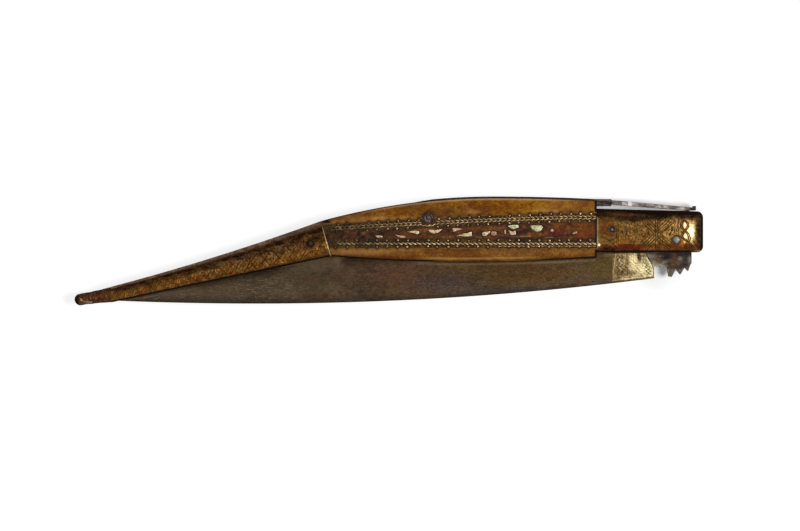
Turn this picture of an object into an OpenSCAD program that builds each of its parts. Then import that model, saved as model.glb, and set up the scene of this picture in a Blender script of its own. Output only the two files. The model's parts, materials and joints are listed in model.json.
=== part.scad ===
// Large folding knife with a ratchet lock, closed, lying on its side.
// X runs along the knife towards the pivot end, Y towards the back spring, Z up through the thickness.
// All sizes in millimetres. Heights in Y are measured from the pivot unless a comment says otherwise.

/* [Handle outline] */
// Length of the bolster along the knife
bolster_l = 40.7; // [38:0.1:44]
// How far the bolster runs past the pivot
bolster_past_pivot = 10.4; // [9.5:0.1:12]
// Length of the horn scale along its lower edge
horn_l = 101.2; // [96:0.2:108]
// Length of the brass-clad tail along its lower edge
tail_l = 84; // [78:0.5:90]
// Length of the rounded tip piece
tip_l = 14.2; // [12:0.1:17]
// How far the joint of horn and tail leans back at its top
joint_lean = 4; // [2:0.1:6]
// Height of the back of the handle at its peak
back_peak_y = 16.1; // [15.6:0.1:17.5]
// Distance of that peak behind the bolster
back_peak_behind = 39.7; // [34:0.1:46]
// Height of the back where horn and tail meet
knee_top_y = 7.15; // [6.6:0.05:8]
// Height of the back where the horn meets the bolster
horn_front_top_y = 15.1; // [14.7:0.1:15.5]
// Depth of the handle's belly below the pivot
belly_drop = 8.4; // [8:0.1:9.2]
// Distance of the lowest point of the belly behind the bolster
belly_behind = 53.7; // [48:0.1:60]
// Depth of the lower edge where horn and tail meet
knee_drop = 6.25; // [6:0.05:7]
// Depth of the lower edge where the horn meets the bolster
horn_front_drop = 6.8; // [6.2:0.1:7.4]
// Depth of the top edge of the tail at the tip piece
tail_end_top_drop = 17.9; // [17.4:0.1:18.4]
// Depth of the lower edge of the tail at the tip piece
tail_end_drop = 23.9; // [23.5:0.1:24.4]
// How far the back of the tail sags below a straight line
tail_sag = 1; // [0:0.1:1.6]
// Depth of the middle of the tip's rounded end
tip_drop = 22.8; // [22.4:0.1:23.2]
// Height of the tip's rounded end
tip_h = 4.6; // [4:0.1:5.2]
// Height of the bolster's upper edge at the horn
bolster_top_rear_y = 11.9; // [11.5:0.1:12.2]
// Height of the bolster's upper edge at the pivot end
bolster_top_front_y = 10.8; // [10.4:0.1:11]
// Depth of the bolster's lower edge
bolster_drop = 4.8; // [4.4:0.1:5.4]
// Radius of the bolster's corners at the pivot end
bolster_corner_r = 2.2; // [1.2:0.1:3]

/* [Thicknesses] */
// Thickness of the blade at the tang
blade_t = 3.2; // [2.8:0.1:3.5]
// Gap between the blade and each liner
slot_clear = 0.15; // [0.1:0.01:0.3]
// Thickness of each iron liner
liner_t = 1.2; // [1:0.1:1.6]
// Thickness of each horn scale
horn_t = 4.55; // [4.2:0.05:5.2]
// Thickness of each bolster
bolster_t = 4.05; // [3.7:0.05:4.1]
// Thickness of tail sheet and core together at the horn
tail_knee_t = 4.5; // [4:0.05:4.5]
// Thickness of tail sheet and core together at the tip piece
tail_end_t = 1.4; // [1.2:0.05:2]
// Thickness of the brass tail sheet
sheet_t = 0.5; // [0.3:0.05:0.6]

/* [Rounding] */
// Width of the horn's rounded shoulder along the back
horn_shoulder_back = 3; // [2:0.1:3.6]
// Width of the horn's rounded shoulder along the belly
horn_shoulder_belly = 2.2; // [1.5:0.1:2.4]
// Depth of the horn's rounded shoulders
horn_shoulder_t = 2.6; // [1.5:0.1:3.2]
// Width of the bolster's rounded shoulder along the back
bolster_shoulder_back = 2.8; // [2:0.1:3.6]
// Width of the bolster's rounded shoulder along its lower edge
bolster_shoulder_belly = 1.4; // [0.8:0.1:2]
// Depth of the bolster's rounded shoulders
bolster_shoulder_t = 2.6; // [1.5:0.1:3]
// Chamfer of the horn where it meets the tail sheet
horn_end_chamfer = 0.5; // [0.2:0.05:0.8]

/* [Blade] */
// Depth of the lowest point of the blade's spine
spine_low_drop = 24.4; // [24:0.1:24.8]
// Distance of that point behind the bolster
spine_low_behind = 129.7; // [124:0.1:136]
// Depth of the spine at the blade's point
spine_point_drop = 23.25; // [23:0.05:23.4]
// Depth of the spine at its corner by the ratchet
spine_corner_drop = 14.7; // [14.3:0.1:15.2]
// Distance of that corner from the pivot along the knife
spine_corner_behind = 8.2; // [8:0.1:9]
// Gap between the blade's point and the tip piece
point_gap = 1; // [0.6:0.1:2]
// Height of the blade left at its point
point_h = 0.4; // [0.3:0.05:0.8]
// Distance of the edge's highest point behind the bolster
edge_peak_behind = 31.7; // [27:0.1:36]
// Gap between the edge and whatever lies above it
edge_gap = 1; // [0.6:0.1:1.4]
// Distance behind the pivot where the edge begins
root_behind = 22; // [21:0.1:24]
// Length over which the blade's bevel runs in
plunge_l = 6; // [3:0.5:10]
// Share of the blade's height that is ground to the edge
bevel_share = 0.45; // [0.3:0.01:0.6]
// Thickness of the cutting edge
edge_t = 0.4; // [0.3:0.05:0.6]
// Thickness of the blade at its point
point_t = 1.6; // [1.2:0.1:2]
// Height of the false edge ground along the spine near the point
false_edge_h = 2.6; // [1.5:0.1:3.2]
// Thickness of the spine left on the false edge near the point
false_edge_t = 0.7; // [0.5:0.05:1]
// Radius of the notch at the start of the edge
choil_r = 1.2; // [0.8:0.1:1.5]

/* [Tang and ratchet] */
// Height of the tang's side wall from the pivot
tang_front = 6.1; // [5.8:0.1:6.4]
// Radius to the roots of the ratchet teeth
root_r = 11.2; // [10.9:0.1:11.4]
// Depth of the floor of the locking notch
notch_drop = 10.3; // [9.8:0.1:10.5]
// Radius to the tip of the first tooth
tooth_1_r = 14.3; // [13.8:0.1:14.5]
// Radius to the tip of the second tooth
tooth_2_r = 13.3; // [13:0.1:13.6]
// Radius to the tip of the third tooth
tooth_3_r = 12.75; // [12.5:0.05:13]
// Width of the flat on the first tooth
tooth_1_flat = 1.3; // [0.8:0.1:1.4]
// Width of the flat on the other teeth
tooth_flat = 0.4; // [0.3:0.05:0.6]
// Gap between the tang's heel and the bar of the spring
heel_gap = 0.05; // [0.03:0.01:0.1]

/* [Ricasso overlay] */
// Length of the brass overlay on the root of the blade
overlay_l = 15.7; // [14:0.1:17]
// Depth of its upper edge below the pivot
overlay_top_drop = 3.2; // [2.5:0.1:4]
// Thickness of the overlay, sunk flush into the blade
overlay_t = 0.3; // [0.2:0.05:0.4]
// Rim of steel left round the overlay
overlay_rim = 0.35; // [0.2:0.05:0.6]

/* [Back spring] */
// How far the spring stands proud of the horn
spring_proud = 0.45; // [0.2:0.05:0.7]
// Gap between the spring and each liner
spring_clear = 0.1; // [0.05:0.01:0.2]
// Length of the spring behind its rivet
spring_rear_l = 13.6; // [12:0.1:17]
// Radius of the eye round the spring's rivet
spring_eye_r = 3.2; // [2.6:0.1:3.4]
// Thickness of the leaf in front of its rivet
leaf_rear_t = 3.6; // [3:0.1:4]
// Thickness of the leaf at its thick block by the bolster
leaf_block_t = 2.7; // [2.4:0.1:2.9]
// Length of the thick block in front of the horn
block_l = 5.7; // [4:0.1:7]
// Step down from the block to the wide end
block_step = 0.3; // [0.1:0.05:0.5]
// Thickness of the wide end at the block
paddle_rear_t = 1.8; // [1.5:0.05:2]
// Thickness of the wide end at its bar
paddle_front_t = 1; // [0.8:0.05:1.2]
// Width of the wide end across the knife
paddle_w = 8; // [7:0.1:10]
// Height of the bar's underside above the pivot
bar_under_y = 11.2; // [11.15:0.05:11.4]
// Distance of the bar's end past the pivot
bar_end = 7.7; // [7.4:0.1:7.9]
// Length of the bar along the knife
bar_l = 3.5; // [3:0.1:3.6]
// Length of the window behind the bar
window_l = 10.4; // [10:0.1:12]
// Width of the window across the knife
window_w = 4; // [3.8:0.05:4]
// Height of the small lip on the bar
lip_h = 0.7; // [0.4:0.05:1]

/* [Rivets] */
// Radius of the pivot pin
pivot_r = 1.4; // [1.2:0.05:1.8]
// Radius of the pivot pin's head
pivot_head_r = 1.7; // [1.6:0.05:2.4]
// Running clearance of blade and spring on their pins
run_clear = 0.05; // [0.03:0.01:0.08]
// Height of the rivet heads above their seats
head_h = 0.35; // [0.2:0.05:0.4]
// Radius of the bolster rivet
bolster_rivet_r = 0.9; // [0.7:0.05:1.1]
// Distance of the bolster rivet from the bolster's rear edge
bolster_rivet_in = 5.8; // [5.2:0.1:7]
// Height of the bolster rivet above the pivot
bolster_rivet_y = 3.9; // [3.5:0.1:4.2]
// Radius of the bolster rivet's rosette washer
bolster_washer_r = 1.75; // [1.5:0.05:2.2]
// Thickness of the bolster rivet's washer
bolster_washer_t = 0.2; // [0.15:0.05:0.3]
// Radius of the spring rivet
spring_rivet_r = 1.2; // [1:0.05:1.4]
// Distance of the spring rivet behind the bolster
spring_rivet_behind = 64.1; // [61:0.1:66]
// Depth of the spring rivet below the back of the handle
spring_rivet_in = 6.4; // [6.1:0.05:6.8]
// Radius of the spring rivet's rosette washer
spring_washer_r = 2.3; // [2:0.05:2.6]
// Radius of the tail pin
tail_pin_r = 1; // [0.8:0.05:1.2]
// Distance of the tail pin behind the top of the joint of horn and tail
tail_pin_behind = 4; // [3:0.1:6]
// Depth of the tail pin below the pivot
tail_pin_drop = 1.4; // [1.2:0.1:1.8]
// Metal left under the tail pin in the spacer
pin_wall = 0.8; // [0.6:0.1:1.2]

/* [Tail spacer] */
// Greatest height of the spacer between the liners
spacer_h = 9; // [8.5:0.1:10]
// Gap between the spacer and the end of the spring
spacer_gap = 0.6; // [0.4:0.1:1]
// Distance between the notches filed along the back of the tail
file_pitch = 3.6; // [3:0.1:5]
// Radius of each filed notch
file_r = 0.45; // [0.3:0.05:0.6]

/* [Inlay] */
// Depth of the pocket for the inlay in the horn
inlay_t = 0.8; // [0.6:0.05:1]
// How far the pins' and wires' bed lies below the horn's face
bed_sink = 0.25; // [0.15:0.01:0.35]
// Height of each band of pins and wire
band_h = 4; // [3.6:0.1:4.2]
// Height of the middle of the lower band below the pivot
lower_band_drop = 1.6; // [1.4:0.1:1.8]
// Height of the middle of the upper band above the pivot
upper_band_y = 8.6; // [8.3:0.1:8.8]
// How far the upper band dips at the tail
upper_band_dip = 4.2; // [3.8:0.1:4.4]
// Distance behind the bolster where the upper band begins to dip
dip_behind = 9.7; // [8:0.1:14]
// How sharply the upper band dips
dip_power = 1.3; // [1.2:0.05:1.6]
// Gap between the inlay and the joint of horn and tail
inlay_end_gap = 1.2; // [0.8:0.1:2]
// Radius of a brass pin
stud_r = 0.45; // [0.35:0.01:0.5]
// Distance between the pins of a row
stud_pitch = 3.8; // [3:0.1:5]
// Distance of each row of pins from the middle of its band
stud_row = 1.45; // [1.3:0.05:1.5]
// Width of the twisted wire
wire_w = 1.5; // [1.2:0.05:1.6]
// Distance between the turns of the twisted wire
wire_pitch = 1.8; // [1.5:0.05:2.2]
// Width of each turn of the wire
turn_w = 0.7; // [0.5:0.05:0.8]
// Height of the flat under the turns of the wire
wire_flat_t = 0.1; // [0.06:0.01:0.12]
// Depth of the pearl chips in the centre strip
chip_t = 0.5; // [0.3:0.05:0.55]

/* [Hidden] */
$fn = 48;
tiny = 0.01;
arc_steps = 6;

// Stations along the knife, from the pivot
x_front = bolster_past_pivot;
x_bolster = x_front - bolster_l;
x_knee = x_bolster - horn_l;
x_knee_top = x_knee - joint_lean;
x_tail_end = x_knee - tail_l;
x_tip = x_tail_end - tip_l;
x_peak = x_bolster - back_peak_behind;
x_belly = x_bolster - belly_behind;
x_spine_low = x_bolster - spine_low_behind;
x_edge_peak = x_bolster - edge_peak_behind;
x_point = x_tail_end + point_gap;
x_dip = x_bolster - dip_behind;

// Heights through the thickness, from the middle of the blade
z_slot = blade_t / 2 + slot_clear;
z_liner = z_slot + liner_t;
z_horn = z_liner + horn_t;
z_bolster = z_liner + bolster_t;
z_pocket = z_horn - inlay_t;
z_bed = z_horn - bed_sink;

// Rivet places, from the pivot
bolster_rivet = [x_bolster + bolster_rivet_in, bolster_rivet_y];
spring_rivet = [
    x_bolster - spring_rivet_behind,
    back_y(x_bolster - spring_rivet_behind) - spring_rivet_in
];
tail_pin = [x_knee_top - tail_pin_behind, -tail_pin_drop];

// Place of the pivot from the middle of the knife's outline
y_top = back_peak_y + spring_proud;
y_bottom = min(-tip_drop - tip_h / 2, -spine_low_drop);
pivot_x = -(x_front + x_tip) / 2;
pivot_y = -(y_top + y_bottom) / 2;

// Ratchet teeth: angle of each root and tip, from straight down, towards the front
tooth_roots = [-17.2, 0, 17.8, 29.7];
tooth_tips = [-8.6, 7.3, 21.7];
tooth_radii = [tooth_1_r, tooth_2_r, tooth_3_r];
tooth_flats = [tooth_1_flat, tooth_flat, tooth_flat];
heel_y = bar_under_y - heel_gap;
heel_rear = 1.5;
heel_front = 5.2;
heel_corner = 1.4;

// Pearl chips: distance behind the bolster, height above the pivot, length, height,
// and the share of the height at the left end, the middle and the right end
chips = [
    [83.0, 1.45, 3.4, 0.9, 0.3, 1, 0.4],
    [74.8, 1.45, 4.6, 0.9, 1, 0.6, 0.2],
    [70.3, 3.1, 5.2, 1.5, 0.15, 0.6, 1],
    [61.4, 3.2, 5.4, 1.9, 0.4, 1, 0.15],
    [52.3, 3.85, 5.5, 1.4, 1, 0.6, 0.15],
    [49.9, 2.15, 5.4, 1.5, 0.15, 0.55, 1],
    [42.2, 2.5, 3.2, 1.9, 0.3, 1, 0.5],
    [39.2, 2.5, 2.2, 1.3, 0.7, 1, 0.5],
    [34.9, 2.4, 0.6, 1.6, 1, 1, 1],
    [31.9, 4.75, 4.1, 1.3, 0.3, 1, 0.6],
    [32.5, 2.2, 2.9, 1.1, 0.9, 0.9, 0.5],
    [22.6, 4.4, 5.8, 2.2, 0.35, 1, 0.3],
    [16.9, 3.7, 1.7, 0.9, 0.4, 1, 0.4],
    [8.4, 2.5, 2.3, 1.4, 0.2, 0.8, 1]
];

// Curves of the outline

// Parabola with its peak at (px, py), passing through (ax, ay)
function bow(x, px, py, ax, ay) = py + (ay - py) * pow((x - px) / (ax - px), 2);

// Straight line from (ax, ay) to (bx, by)
function line(x, ax, ay, bx, by) = ay + (by - ay) * (x - ax) / (bx - ax);

// Evenly spaced stations from a to b
function along(a, b, n) = [for (i = [0 : n]) a + (b - a) * i / n];

// Edge of a rounded corner that drops away over its last r
function corner_fall(x, x_end, r) = x <= x_end - r ? 0 : r - sqrt(max(0, r * r - pow(x - x_end + r, 2)));

function back_y(x) = x < x_peak
    ? bow(x, x_peak, back_peak_y, x_knee_top, knee_top_y)
    : bow(x, x_peak, back_peak_y, x_bolster, horn_front_top_y);

function belly_y(x) = x < x_belly
    ? bow(x, x_belly, -belly_drop, x_knee, -knee_drop)
    : bow(x, x_belly, -belly_drop, x_bolster, -horn_front_drop);

function tail_top_y(x) =
    let (u = (x - x_tail_end) / (x_knee_top - x_tail_end))
    line(x, x_tail_end, -tail_end_top_drop, x_knee_top, knee_top_y) - 4 * tail_sag * u * (1 - u);

function tail_bottom_y(x) = line(x, x_tail_end, -tail_end_drop, x_knee, -knee_drop);

function bolster_top_y(x) =
    line(x, x_bolster, bolster_top_rear_y, x_front, bolster_top_front_y)
    - corner_fall(x, x_front, bolster_corner_r);

function bolster_bottom_y(x) = -bolster_drop + corner_fall(x, x_front, bolster_corner_r);

function spine_y(x) = x < x_spine_low
    ? bow(x, x_spine_low, -spine_low_drop, x_point, -spine_point_drop)
    : bow(x, x_spine_low, -spine_low_drop, -spine_corner_behind, -spine_corner_drop);

// The hidden edge clears the spring's eye, the bolster rivet and the metal under the tail pin
edge_peak_y = spring_rivet[1] - spring_eye_r - edge_gap;
edge_root_y = bolster_rivet[1] - bolster_rivet_r - edge_gap;
edge_tail_y = tail_pin[1] - tail_pin_r - pin_wall - edge_gap;
edge_point_y = point_h - spine_point_drop;
edge_fall = edge_peak_y - edge_point_y;
edge_power = ln((edge_peak_y - edge_tail_y) / edge_fall)
    / ln((x_edge_peak - tail_pin[0]) / (x_edge_peak - x_point));

function edge_y(x) = x < x_edge_peak
    ? edge_peak_y - edge_fall * pow((x_edge_peak - x) / (x_edge_peak - x_point), edge_power)
    : bow(x, x_edge_peak, edge_peak_y, -root_behind, edge_root_y);

// Middle line of the upper band of inlay
function upper_mid_y(x) = upper_band_y
    - upper_band_dip * pow(max(0, x_dip - x) / (x_dip - x_knee), dip_power);

// Stations that crowd towards the rounded front of the bolster
bolster_stations = concat(
    along(x_bolster, x_front - bolster_corner_r, 6),
    [for (i = [1 : arc_steps]) x_front - bolster_corner_r * (1 - sin(90 * i / arc_steps))]
);

horn_back = concat(along(x_knee_top, x_peak, 12), along(x_peak, x_bolster, 6));
horn_belly = along(x_bolster, x_knee, 16);

// Outline of a liner, from the tip piece round to the front of the bolster and back
liner_outline = concat(
    [for (x = along(x_tail_end, x_knee_top, 12)) [x, tail_top_y(x)]],
    [for (i = [1 : len(horn_back) - 1]) [horn_back[i], back_y(horn_back[i])]],
    [for (x = bolster_stations) [x, bolster_top_y(x)]],
    [
        for (i = [len(bolster_stations) - 1 : -1 : 0])
        let (x = bolster_stations[i])
        [x, bolster_bottom_y(x)]
    ],
    [for (x = horn_belly) [x, belly_y(x)]],
    [[x_tail_end, -tail_end_drop]]
);

// Lofts

// Closed body through rings of points of equal count
module loft(rings) {
    n = len(rings[0]);
    m = len(rings);
    polyhedron(
        points = [for (ring = rings) each ring],
        faces = concat(
            [[for (i = [n - 1 : -1 : 0]) i]],
            [
                for (k = [0 : m - 2], i = [0 : n - 1])
                let (a = k * n + i, b = k * n + (i + 1) % n)
                each [[a, b, a + n], [b, b + n, a + n]]
            ],
            [[for (i = [0 : n - 1]) (m - 1) * n + i]]
        )
    );
}

// Ring of a cheek piece at station x: flat inside, with a rounded shoulder at each edge outside
function cheek_ring(x, y_low, y_high, z_in, z_out, r_low, r_high, r_z) = concat(
    [[x, y_low, z_in]],
    [
        for (i = [0 : arc_steps])
        let (a = 90 * i / arc_steps)
        [x, y_low + r_low * (1 - cos(a)), z_out - r_z * (1 - sin(a))]
    ],
    [
        for (i = [arc_steps : -1 : 0])
        let (a = 90 * i / arc_steps)
        [x, y_high - r_high * (1 - cos(a)), z_out - r_z * (1 - sin(a))]
    ],
    [[x, y_high, z_in]]
);

// Places and sides

// Sets a body drawn about the pivot into the knife's own frame
module placed() translate([pivot_x, pivot_y, z_horn]) children();

// The back side is the mirror of the front
module on_side(side) {
    if (side == "front") placed() children();
    else placed() mirror([0, 0, 1]) children();
}

// Hole or shank at a rivet's place, through everything above z_from
module drill(place, r, z_from = 0, z_to = z_horn + 1) {
    translate([place[0], place[1], z_from]) cylinder(r = r, h = z_to - z_from);
}

// Plane of the leaning joint of horn and tail: everything on its tail side
module tail_side() {
    reach = 120;
    lean = atan2(joint_lean, knee_top_y + knee_drop);
    translate([x_knee, -knee_drop, 0]) rotate([0, 0, lean])
        translate([-reach, -reach / 2, -tiny]) cube([reach, reach, z_horn + 2]);
}

// Handle pieces

module liner(side) {
    color("dimgray") on_side(side) translate([0, 0, z_slot]) linear_extrude(liner_t) difference() {
        polygon(liner_outline);
        circle(r = pivot_r);
        translate(bolster_rivet) circle(r = bolster_rivet_r);
        translate(spring_rivet) circle(r = spring_rivet_r);
        translate(tail_pin) circle(r = tail_pin_r);
        filed_notches();
    }
}

// Small round notches filed along the back of the tail
module filed_notches() {
    for (x = [x_tail_end + file_pitch : file_pitch : x_knee_top - file_pitch / 2])
        translate([x, tail_top_y(x) + file_r / 2]) circle(r = file_r);
}

// Strip between the liners, above the hidden edge of the blade
module tail_spacer() {
    x_end = spring_rivet[0] - spring_rear_l - spacer_gap;
    tail_xs = along(x_tail_end, x_knee_top, 12);
    horn_xs = along(x_knee_top, x_end, 6);
    floor_xs = along(x_end, x_tail_end, 20);
    color("darkgoldenrod") placed() translate([0, 0, -z_slot]) linear_extrude(2 * z_slot) difference() {
        polygon(concat(
            [for (x = tail_xs) [x, tail_top_y(x)]],
            [for (i = [1 : len(horn_xs) - 1]) [horn_xs[i], back_y(horn_xs[i])]],
            [
                for (x = floor_xs)
                let (y_back = x < x_knee_top ? tail_top_y(x) : back_y(x))
                [x, max(edge_y(max(x, x_point)) + edge_gap, y_back - spacer_h)]
            ]
        ));
        translate(tail_pin) circle(r = tail_pin_r);
        filed_notches();
    }
}

// Cosine or sine raised to a power below 1, which squares up an oval
function squared(v, power) = sign(v) * pow(abs(v), power);

// Rounded end piece of the tail: squared like the tail at its joint, then tapers and closes in a half round
module tail_tip() {
    end_r = tip_h / 2;
    x_round = x_tip + end_r;
    join_h = tail_end_drop - tail_end_top_drop;
    join_y = -(tail_end_drop + tail_end_top_drop) / 2;
    join_z = z_liner + tail_end_t;
    end_z = end_r + 0.4;
    neck = concat(
        [
            for (u = [0, 0.2, 0.4, 0.7, 1])
            let (x = x_tail_end + (x_round - x_tail_end) * u, ease = pow(1 - u, 2))
            [x, line(x, x_tail_end, join_y, x_round, -tip_drop), end_r + (join_h / 2 - end_r) * ease,
                end_z + (join_z - end_z) * ease, 1 - 0.35 * ease]
        ],
        [
            for (a = [20, 40, 58, 72, 84])
            [x_round - end_r * sin(a), -tip_drop, end_r * cos(a), end_z * cos(a), 1]
        ]
    );
    sides = 20;
    color("goldenrod") placed() loft([
        for (s = neck) [
            for (i = [0 : sides - 1])
            let (a = 360 * i / sides)
            [s[0], s[1] + s[2] * squared(cos(a), s[4]), s[3] * squared(sin(a), s[4])]
        ]
    ]);
}

function panel_xs() = along(x_knee - joint_lean / 2 + inlay_end_gap, x_bolster, 20);

// Band of the horn's face from y_low(x) to y_high(x), as an outline
function strip(low, high) = concat(low, [for (i = [len(high) - 1 : -1 : 0]) high[i]]);

function upper_edge(offset) = [for (x = panel_xs()) [x, upper_mid_y(x) + offset]];

function lower_edge(offset) = [for (x = panel_xs()) [x, offset - lower_band_drop]];

module inlay_slab(outline, z_from, z_to) {
    translate([0, 0, z_from]) linear_extrude(z_to - z_from) polygon(outline);
}

module horn_scale(side) {
    xs = concat(along(x_knee_top - 1, x_peak, 12), along(x_peak, x_bolster, 6));
    color("peru") on_side(side) difference() {
        loft([
            for (x = xs)
            cheek_ring(x, belly_y(x), back_y(x), z_liner, z_horn, horn_shoulder_belly,
                min(horn_shoulder_back, back_y(x) - upper_mid_y(x) - band_h / 2 - 0.2), horn_shoulder_t)
        ]);
        tail_side();
        horn_end_bevel();
        inlay_slab(strip(lower_edge(-band_h / 2), upper_edge(band_h / 2)), z_pocket, z_horn + 1);
        drill(spring_rivet, spring_washer_r, z_pocket);
        drill(spring_rivet, spring_rivet_r);
    }
}

// Chamfer along the joint, which leaves the edge of the brass sheet in view
module horn_end_bevel() {
    reach = 40;
    lean = atan2(joint_lean, knee_top_y + knee_drop);
    translate([x_knee, -knee_drop, z_horn - horn_end_chamfer]) rotate([0, 0, lean])
        rotate([0, 45, 0]) translate([-reach, -reach / 2, 0]) cube([reach, reach, reach]);
}

module bolster(side) {
    color("goldenrod") on_side(side) difference() {
        loft([
            for (x = bolster_stations)
            cheek_ring(x, bolster_bottom_y(x), bolster_top_y(x), z_liner,
                z_bolster - corner_fall(x, x_front, bolster_corner_r),
                bolster_shoulder_belly, bolster_shoulder_back,
                min(bolster_shoulder_t, bolster_t - bolster_corner_r - 0.2))
        ]);
        drill([0, 0], pivot_r);
        drill(bolster_rivet, bolster_rivet_r);
    }
}

// Height of the tail's face at station x
function tail_z(x) = line(x, x_tail_end, z_liner + tail_end_t, x_knee, z_liner + tail_knee_t);

// Cheek of the tail, drawn in by inset at its outside
module tail_cheek(inset, overrun) {
    xs = concat(overrun > 0 ? [x_tail_end - overrun] : [], along(x_tail_end, x_knee + 1, 14));
    loft([
        for (x = xs)
        let (h = tail_top_y(x) - tail_bottom_y(x), t = tail_z(x) - z_liner - inset)
        cheek_ring(x, tail_bottom_y(x) + inset, tail_top_y(x) - inset, z_liner, tail_z(x) - inset,
            0.2 * h, 0.4 * h, 0.7 * t)
    ]);
}

module tail_core(side) {
    color("saddlebrown") on_side(side) difference() {
        intersection() {
            tail_cheek(sheet_t, 0);
            tail_side();
        }
        drill(tail_pin, tail_pin_r);
    }
}

module tail_sheet(side) {
    color("goldenrod") on_side(side) difference() {
        intersection() {
            tail_cheek(0, 0);
            tail_side();
        }
        tail_cheek(sheet_t, 1);
        drill(tail_pin, tail_pin_r);
    }
}

// Inlay pieces

module upper_bed(side) {
    color("darkslategray") on_side(side) difference() {
        inlay_slab(strip(upper_edge(-band_h / 2), upper_edge(band_h / 2)), z_pocket, z_bed);
        drill(spring_rivet, spring_washer_r);
    }
}

module lower_bed(side) {
    color("darkslategray") on_side(side)
        inlay_slab(strip(lower_edge(-band_h / 2), lower_edge(band_h / 2)), z_pocket, z_bed);
}

module centre_strip(side) {
    color("maroon") on_side(side) difference() {
        inlay_slab(strip(lower_edge(band_h / 2), upper_edge(-band_h / 2)), z_pocket, z_horn);
        drill(spring_rivet, spring_washer_r);
        for (c = chips) chip(c, z_horn + 1);
    }
}

// Pearl chip: a six-sided sliver, its lower half mirrored from the upper
module chip(c, z_to) {
    l = c[2] / 2;
    h = c[3] / 2;
    translate([x_bolster - c[0], c[1], z_horn - chip_t]) linear_extrude(z_to - z_horn + chip_t)
        polygon([
            [-l, -h * c[4]], [0, -h * c[5]], [l, -h * c[6]],
            [l, h * c[6]], [0, h * c[5]], [-l, h * c[4]]
        ]);
}

module pearl_chips(side) {
    color("lightyellow") on_side(side) for (c = chips) chip(c, z_horn);
}

module band_studs(side) {
    xs = panel_xs();
    rows = [for (x = [x_bolster - stud_pitch / 2 : -stud_pitch : xs[0] + stud_r]) x];
    color("gold") on_side(side) for (x = rows, row = [-stud_row, stud_row]) {
        stud([x, row - lower_band_drop]);
        if (norm([x, upper_mid_y(x) + row] - spring_rivet) > spring_washer_r + 2 * stud_r)
            stud([x, upper_mid_y(x) + row]);
    }
}

// Domed brass pin, level with the horn's face at its top
module stud(place) {
    translate([place[0], place[1], z_bed]) cylinder(r1 = stud_r, r2 = 0.7 * stud_r, h = bed_sink, $fn = 16);
}

module twisted_wires(side) {
    xs = panel_xs();
    turns = [for (x = [x_bolster - wire_pitch / 2 : -wire_pitch : xs[0] + wire_w / 2]) x];
    color("gold") on_side(side) difference() {
        union() {
            inlay_slab(strip(lower_edge(-turn_w / 2), lower_edge(turn_w / 2)), z_bed, z_bed + wire_flat_t);
            inlay_slab(strip(upper_edge(-turn_w / 2), upper_edge(turn_w / 2)), z_bed, z_bed + wire_flat_t);
            for (x = turns) {
                wire_turn([x, -lower_band_drop]);
                wire_turn([x, upper_mid_y(x)]);
            }
        }
        drill(spring_rivet, spring_washer_r);
    }
}

// One visible turn of the wire, leaning back
module wire_turn(place) {
    lean = 0.35 * wire_w;
    translate([place[0], place[1], z_bed]) linear_extrude(bed_sink) polygon([
        [lean - turn_w / 2, -wire_w / 2], [lean + turn_w / 2, -wire_w / 2],
        [turn_w / 2 - lean, wire_w / 2], [-lean - turn_w / 2, wire_w / 2]
    ]);
}

// Rivets

// Shank through the handle, with a low domed head of radius head_r standing on each face at z_seat
module headed_pin(place, r, head_r, z_seat, h) {
    color("silver") placed() translate([place[0], place[1], 0]) rotate_extrude() polygon(concat(
        [[0, -z_seat - h]],
        [for (a = [15 : 15 : 90]) [head_r * sin(a), -z_seat - h * cos(a)]],
        [[r, -z_seat], [r, z_seat]],
        [for (a = [90 : -15 : 15]) [head_r * sin(a), z_seat + h * cos(a)]],
        [[0, z_seat + h]]
    ));
}

module flush_pin(place, r, z_face) {
    color("silver") placed() translate([place[0], place[1], -z_face]) cylinder(r = r, h = 2 * z_face);
}

module bolster_washer(side) {
    color("darkgoldenrod") on_side(side) translate([0, 0, z_bolster]) linear_extrude(bolster_washer_t)
        translate(bolster_rivet) difference() {
            circle(r = bolster_washer_r);
            circle(r = bolster_rivet_r);
        }
}

// Washer sunk level with the horn, with a turned groove round its face
module spring_washer(side) {
    groove_r = (spring_washer_r + spring_rivet_r) / 2;
    groove = 0.25;
    color("slategray") on_side(side) translate([spring_rivet[0], spring_rivet[1], 0])
        rotate_extrude() polygon([
            [spring_rivet_r, z_pocket], [spring_washer_r, z_pocket], [spring_washer_r, z_horn],
            [groove_r + groove, z_horn], [groove_r, z_horn - groove], [groove_r - groove, z_horn],
            [spring_rivet_r, z_horn]
        ]);
}

// Blade

// Point at radius r and angle a from straight down, towards the front
function hanging(a, r) = [r * sin(a), -r * cos(a)];

function tooth(i) =
    let (half = tooth_flats[i] / 2 / tooth_radii[i] * 180 / PI)
    [
        hanging(tooth_tips[i] - half, tooth_radii[i]),
        hanging(tooth_tips[i] + half, tooth_radii[i]),
        hanging(tooth_roots[i + 1], root_r)
    ];

heel_r = norm([heel_rear, heel_y]);
heel_turn = atan2(heel_y, -heel_rear);

tang_outline = concat(
    [for (x = along(-root_behind, -spine_corner_behind, 4)) [x, spine_y(x)]],
    [[-spine_corner_behind, -notch_drop], [root_r * sin(tooth_roots[0]) - heel_gap, -notch_drop]],
    [hanging(tooth_roots[0], root_r)],
    [for (i = [0 : 2]) each tooth(i)],
    [[tang_front, -root_r * cos(tooth_roots[3]) + 0.8]],
    [[tang_front, heel_y - heel_corner], [heel_front, heel_y]],
    [for (a = along(heel_turn, 166, 8)) [heel_r * cos(a), heel_r * sin(a)]],
    [[-root_behind + 7, edge_root_y], [-root_behind, edge_root_y]]
);

function blade_half_t(x) = line(x, -root_behind, blade_t / 2, x_point, point_t / 2);

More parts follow.
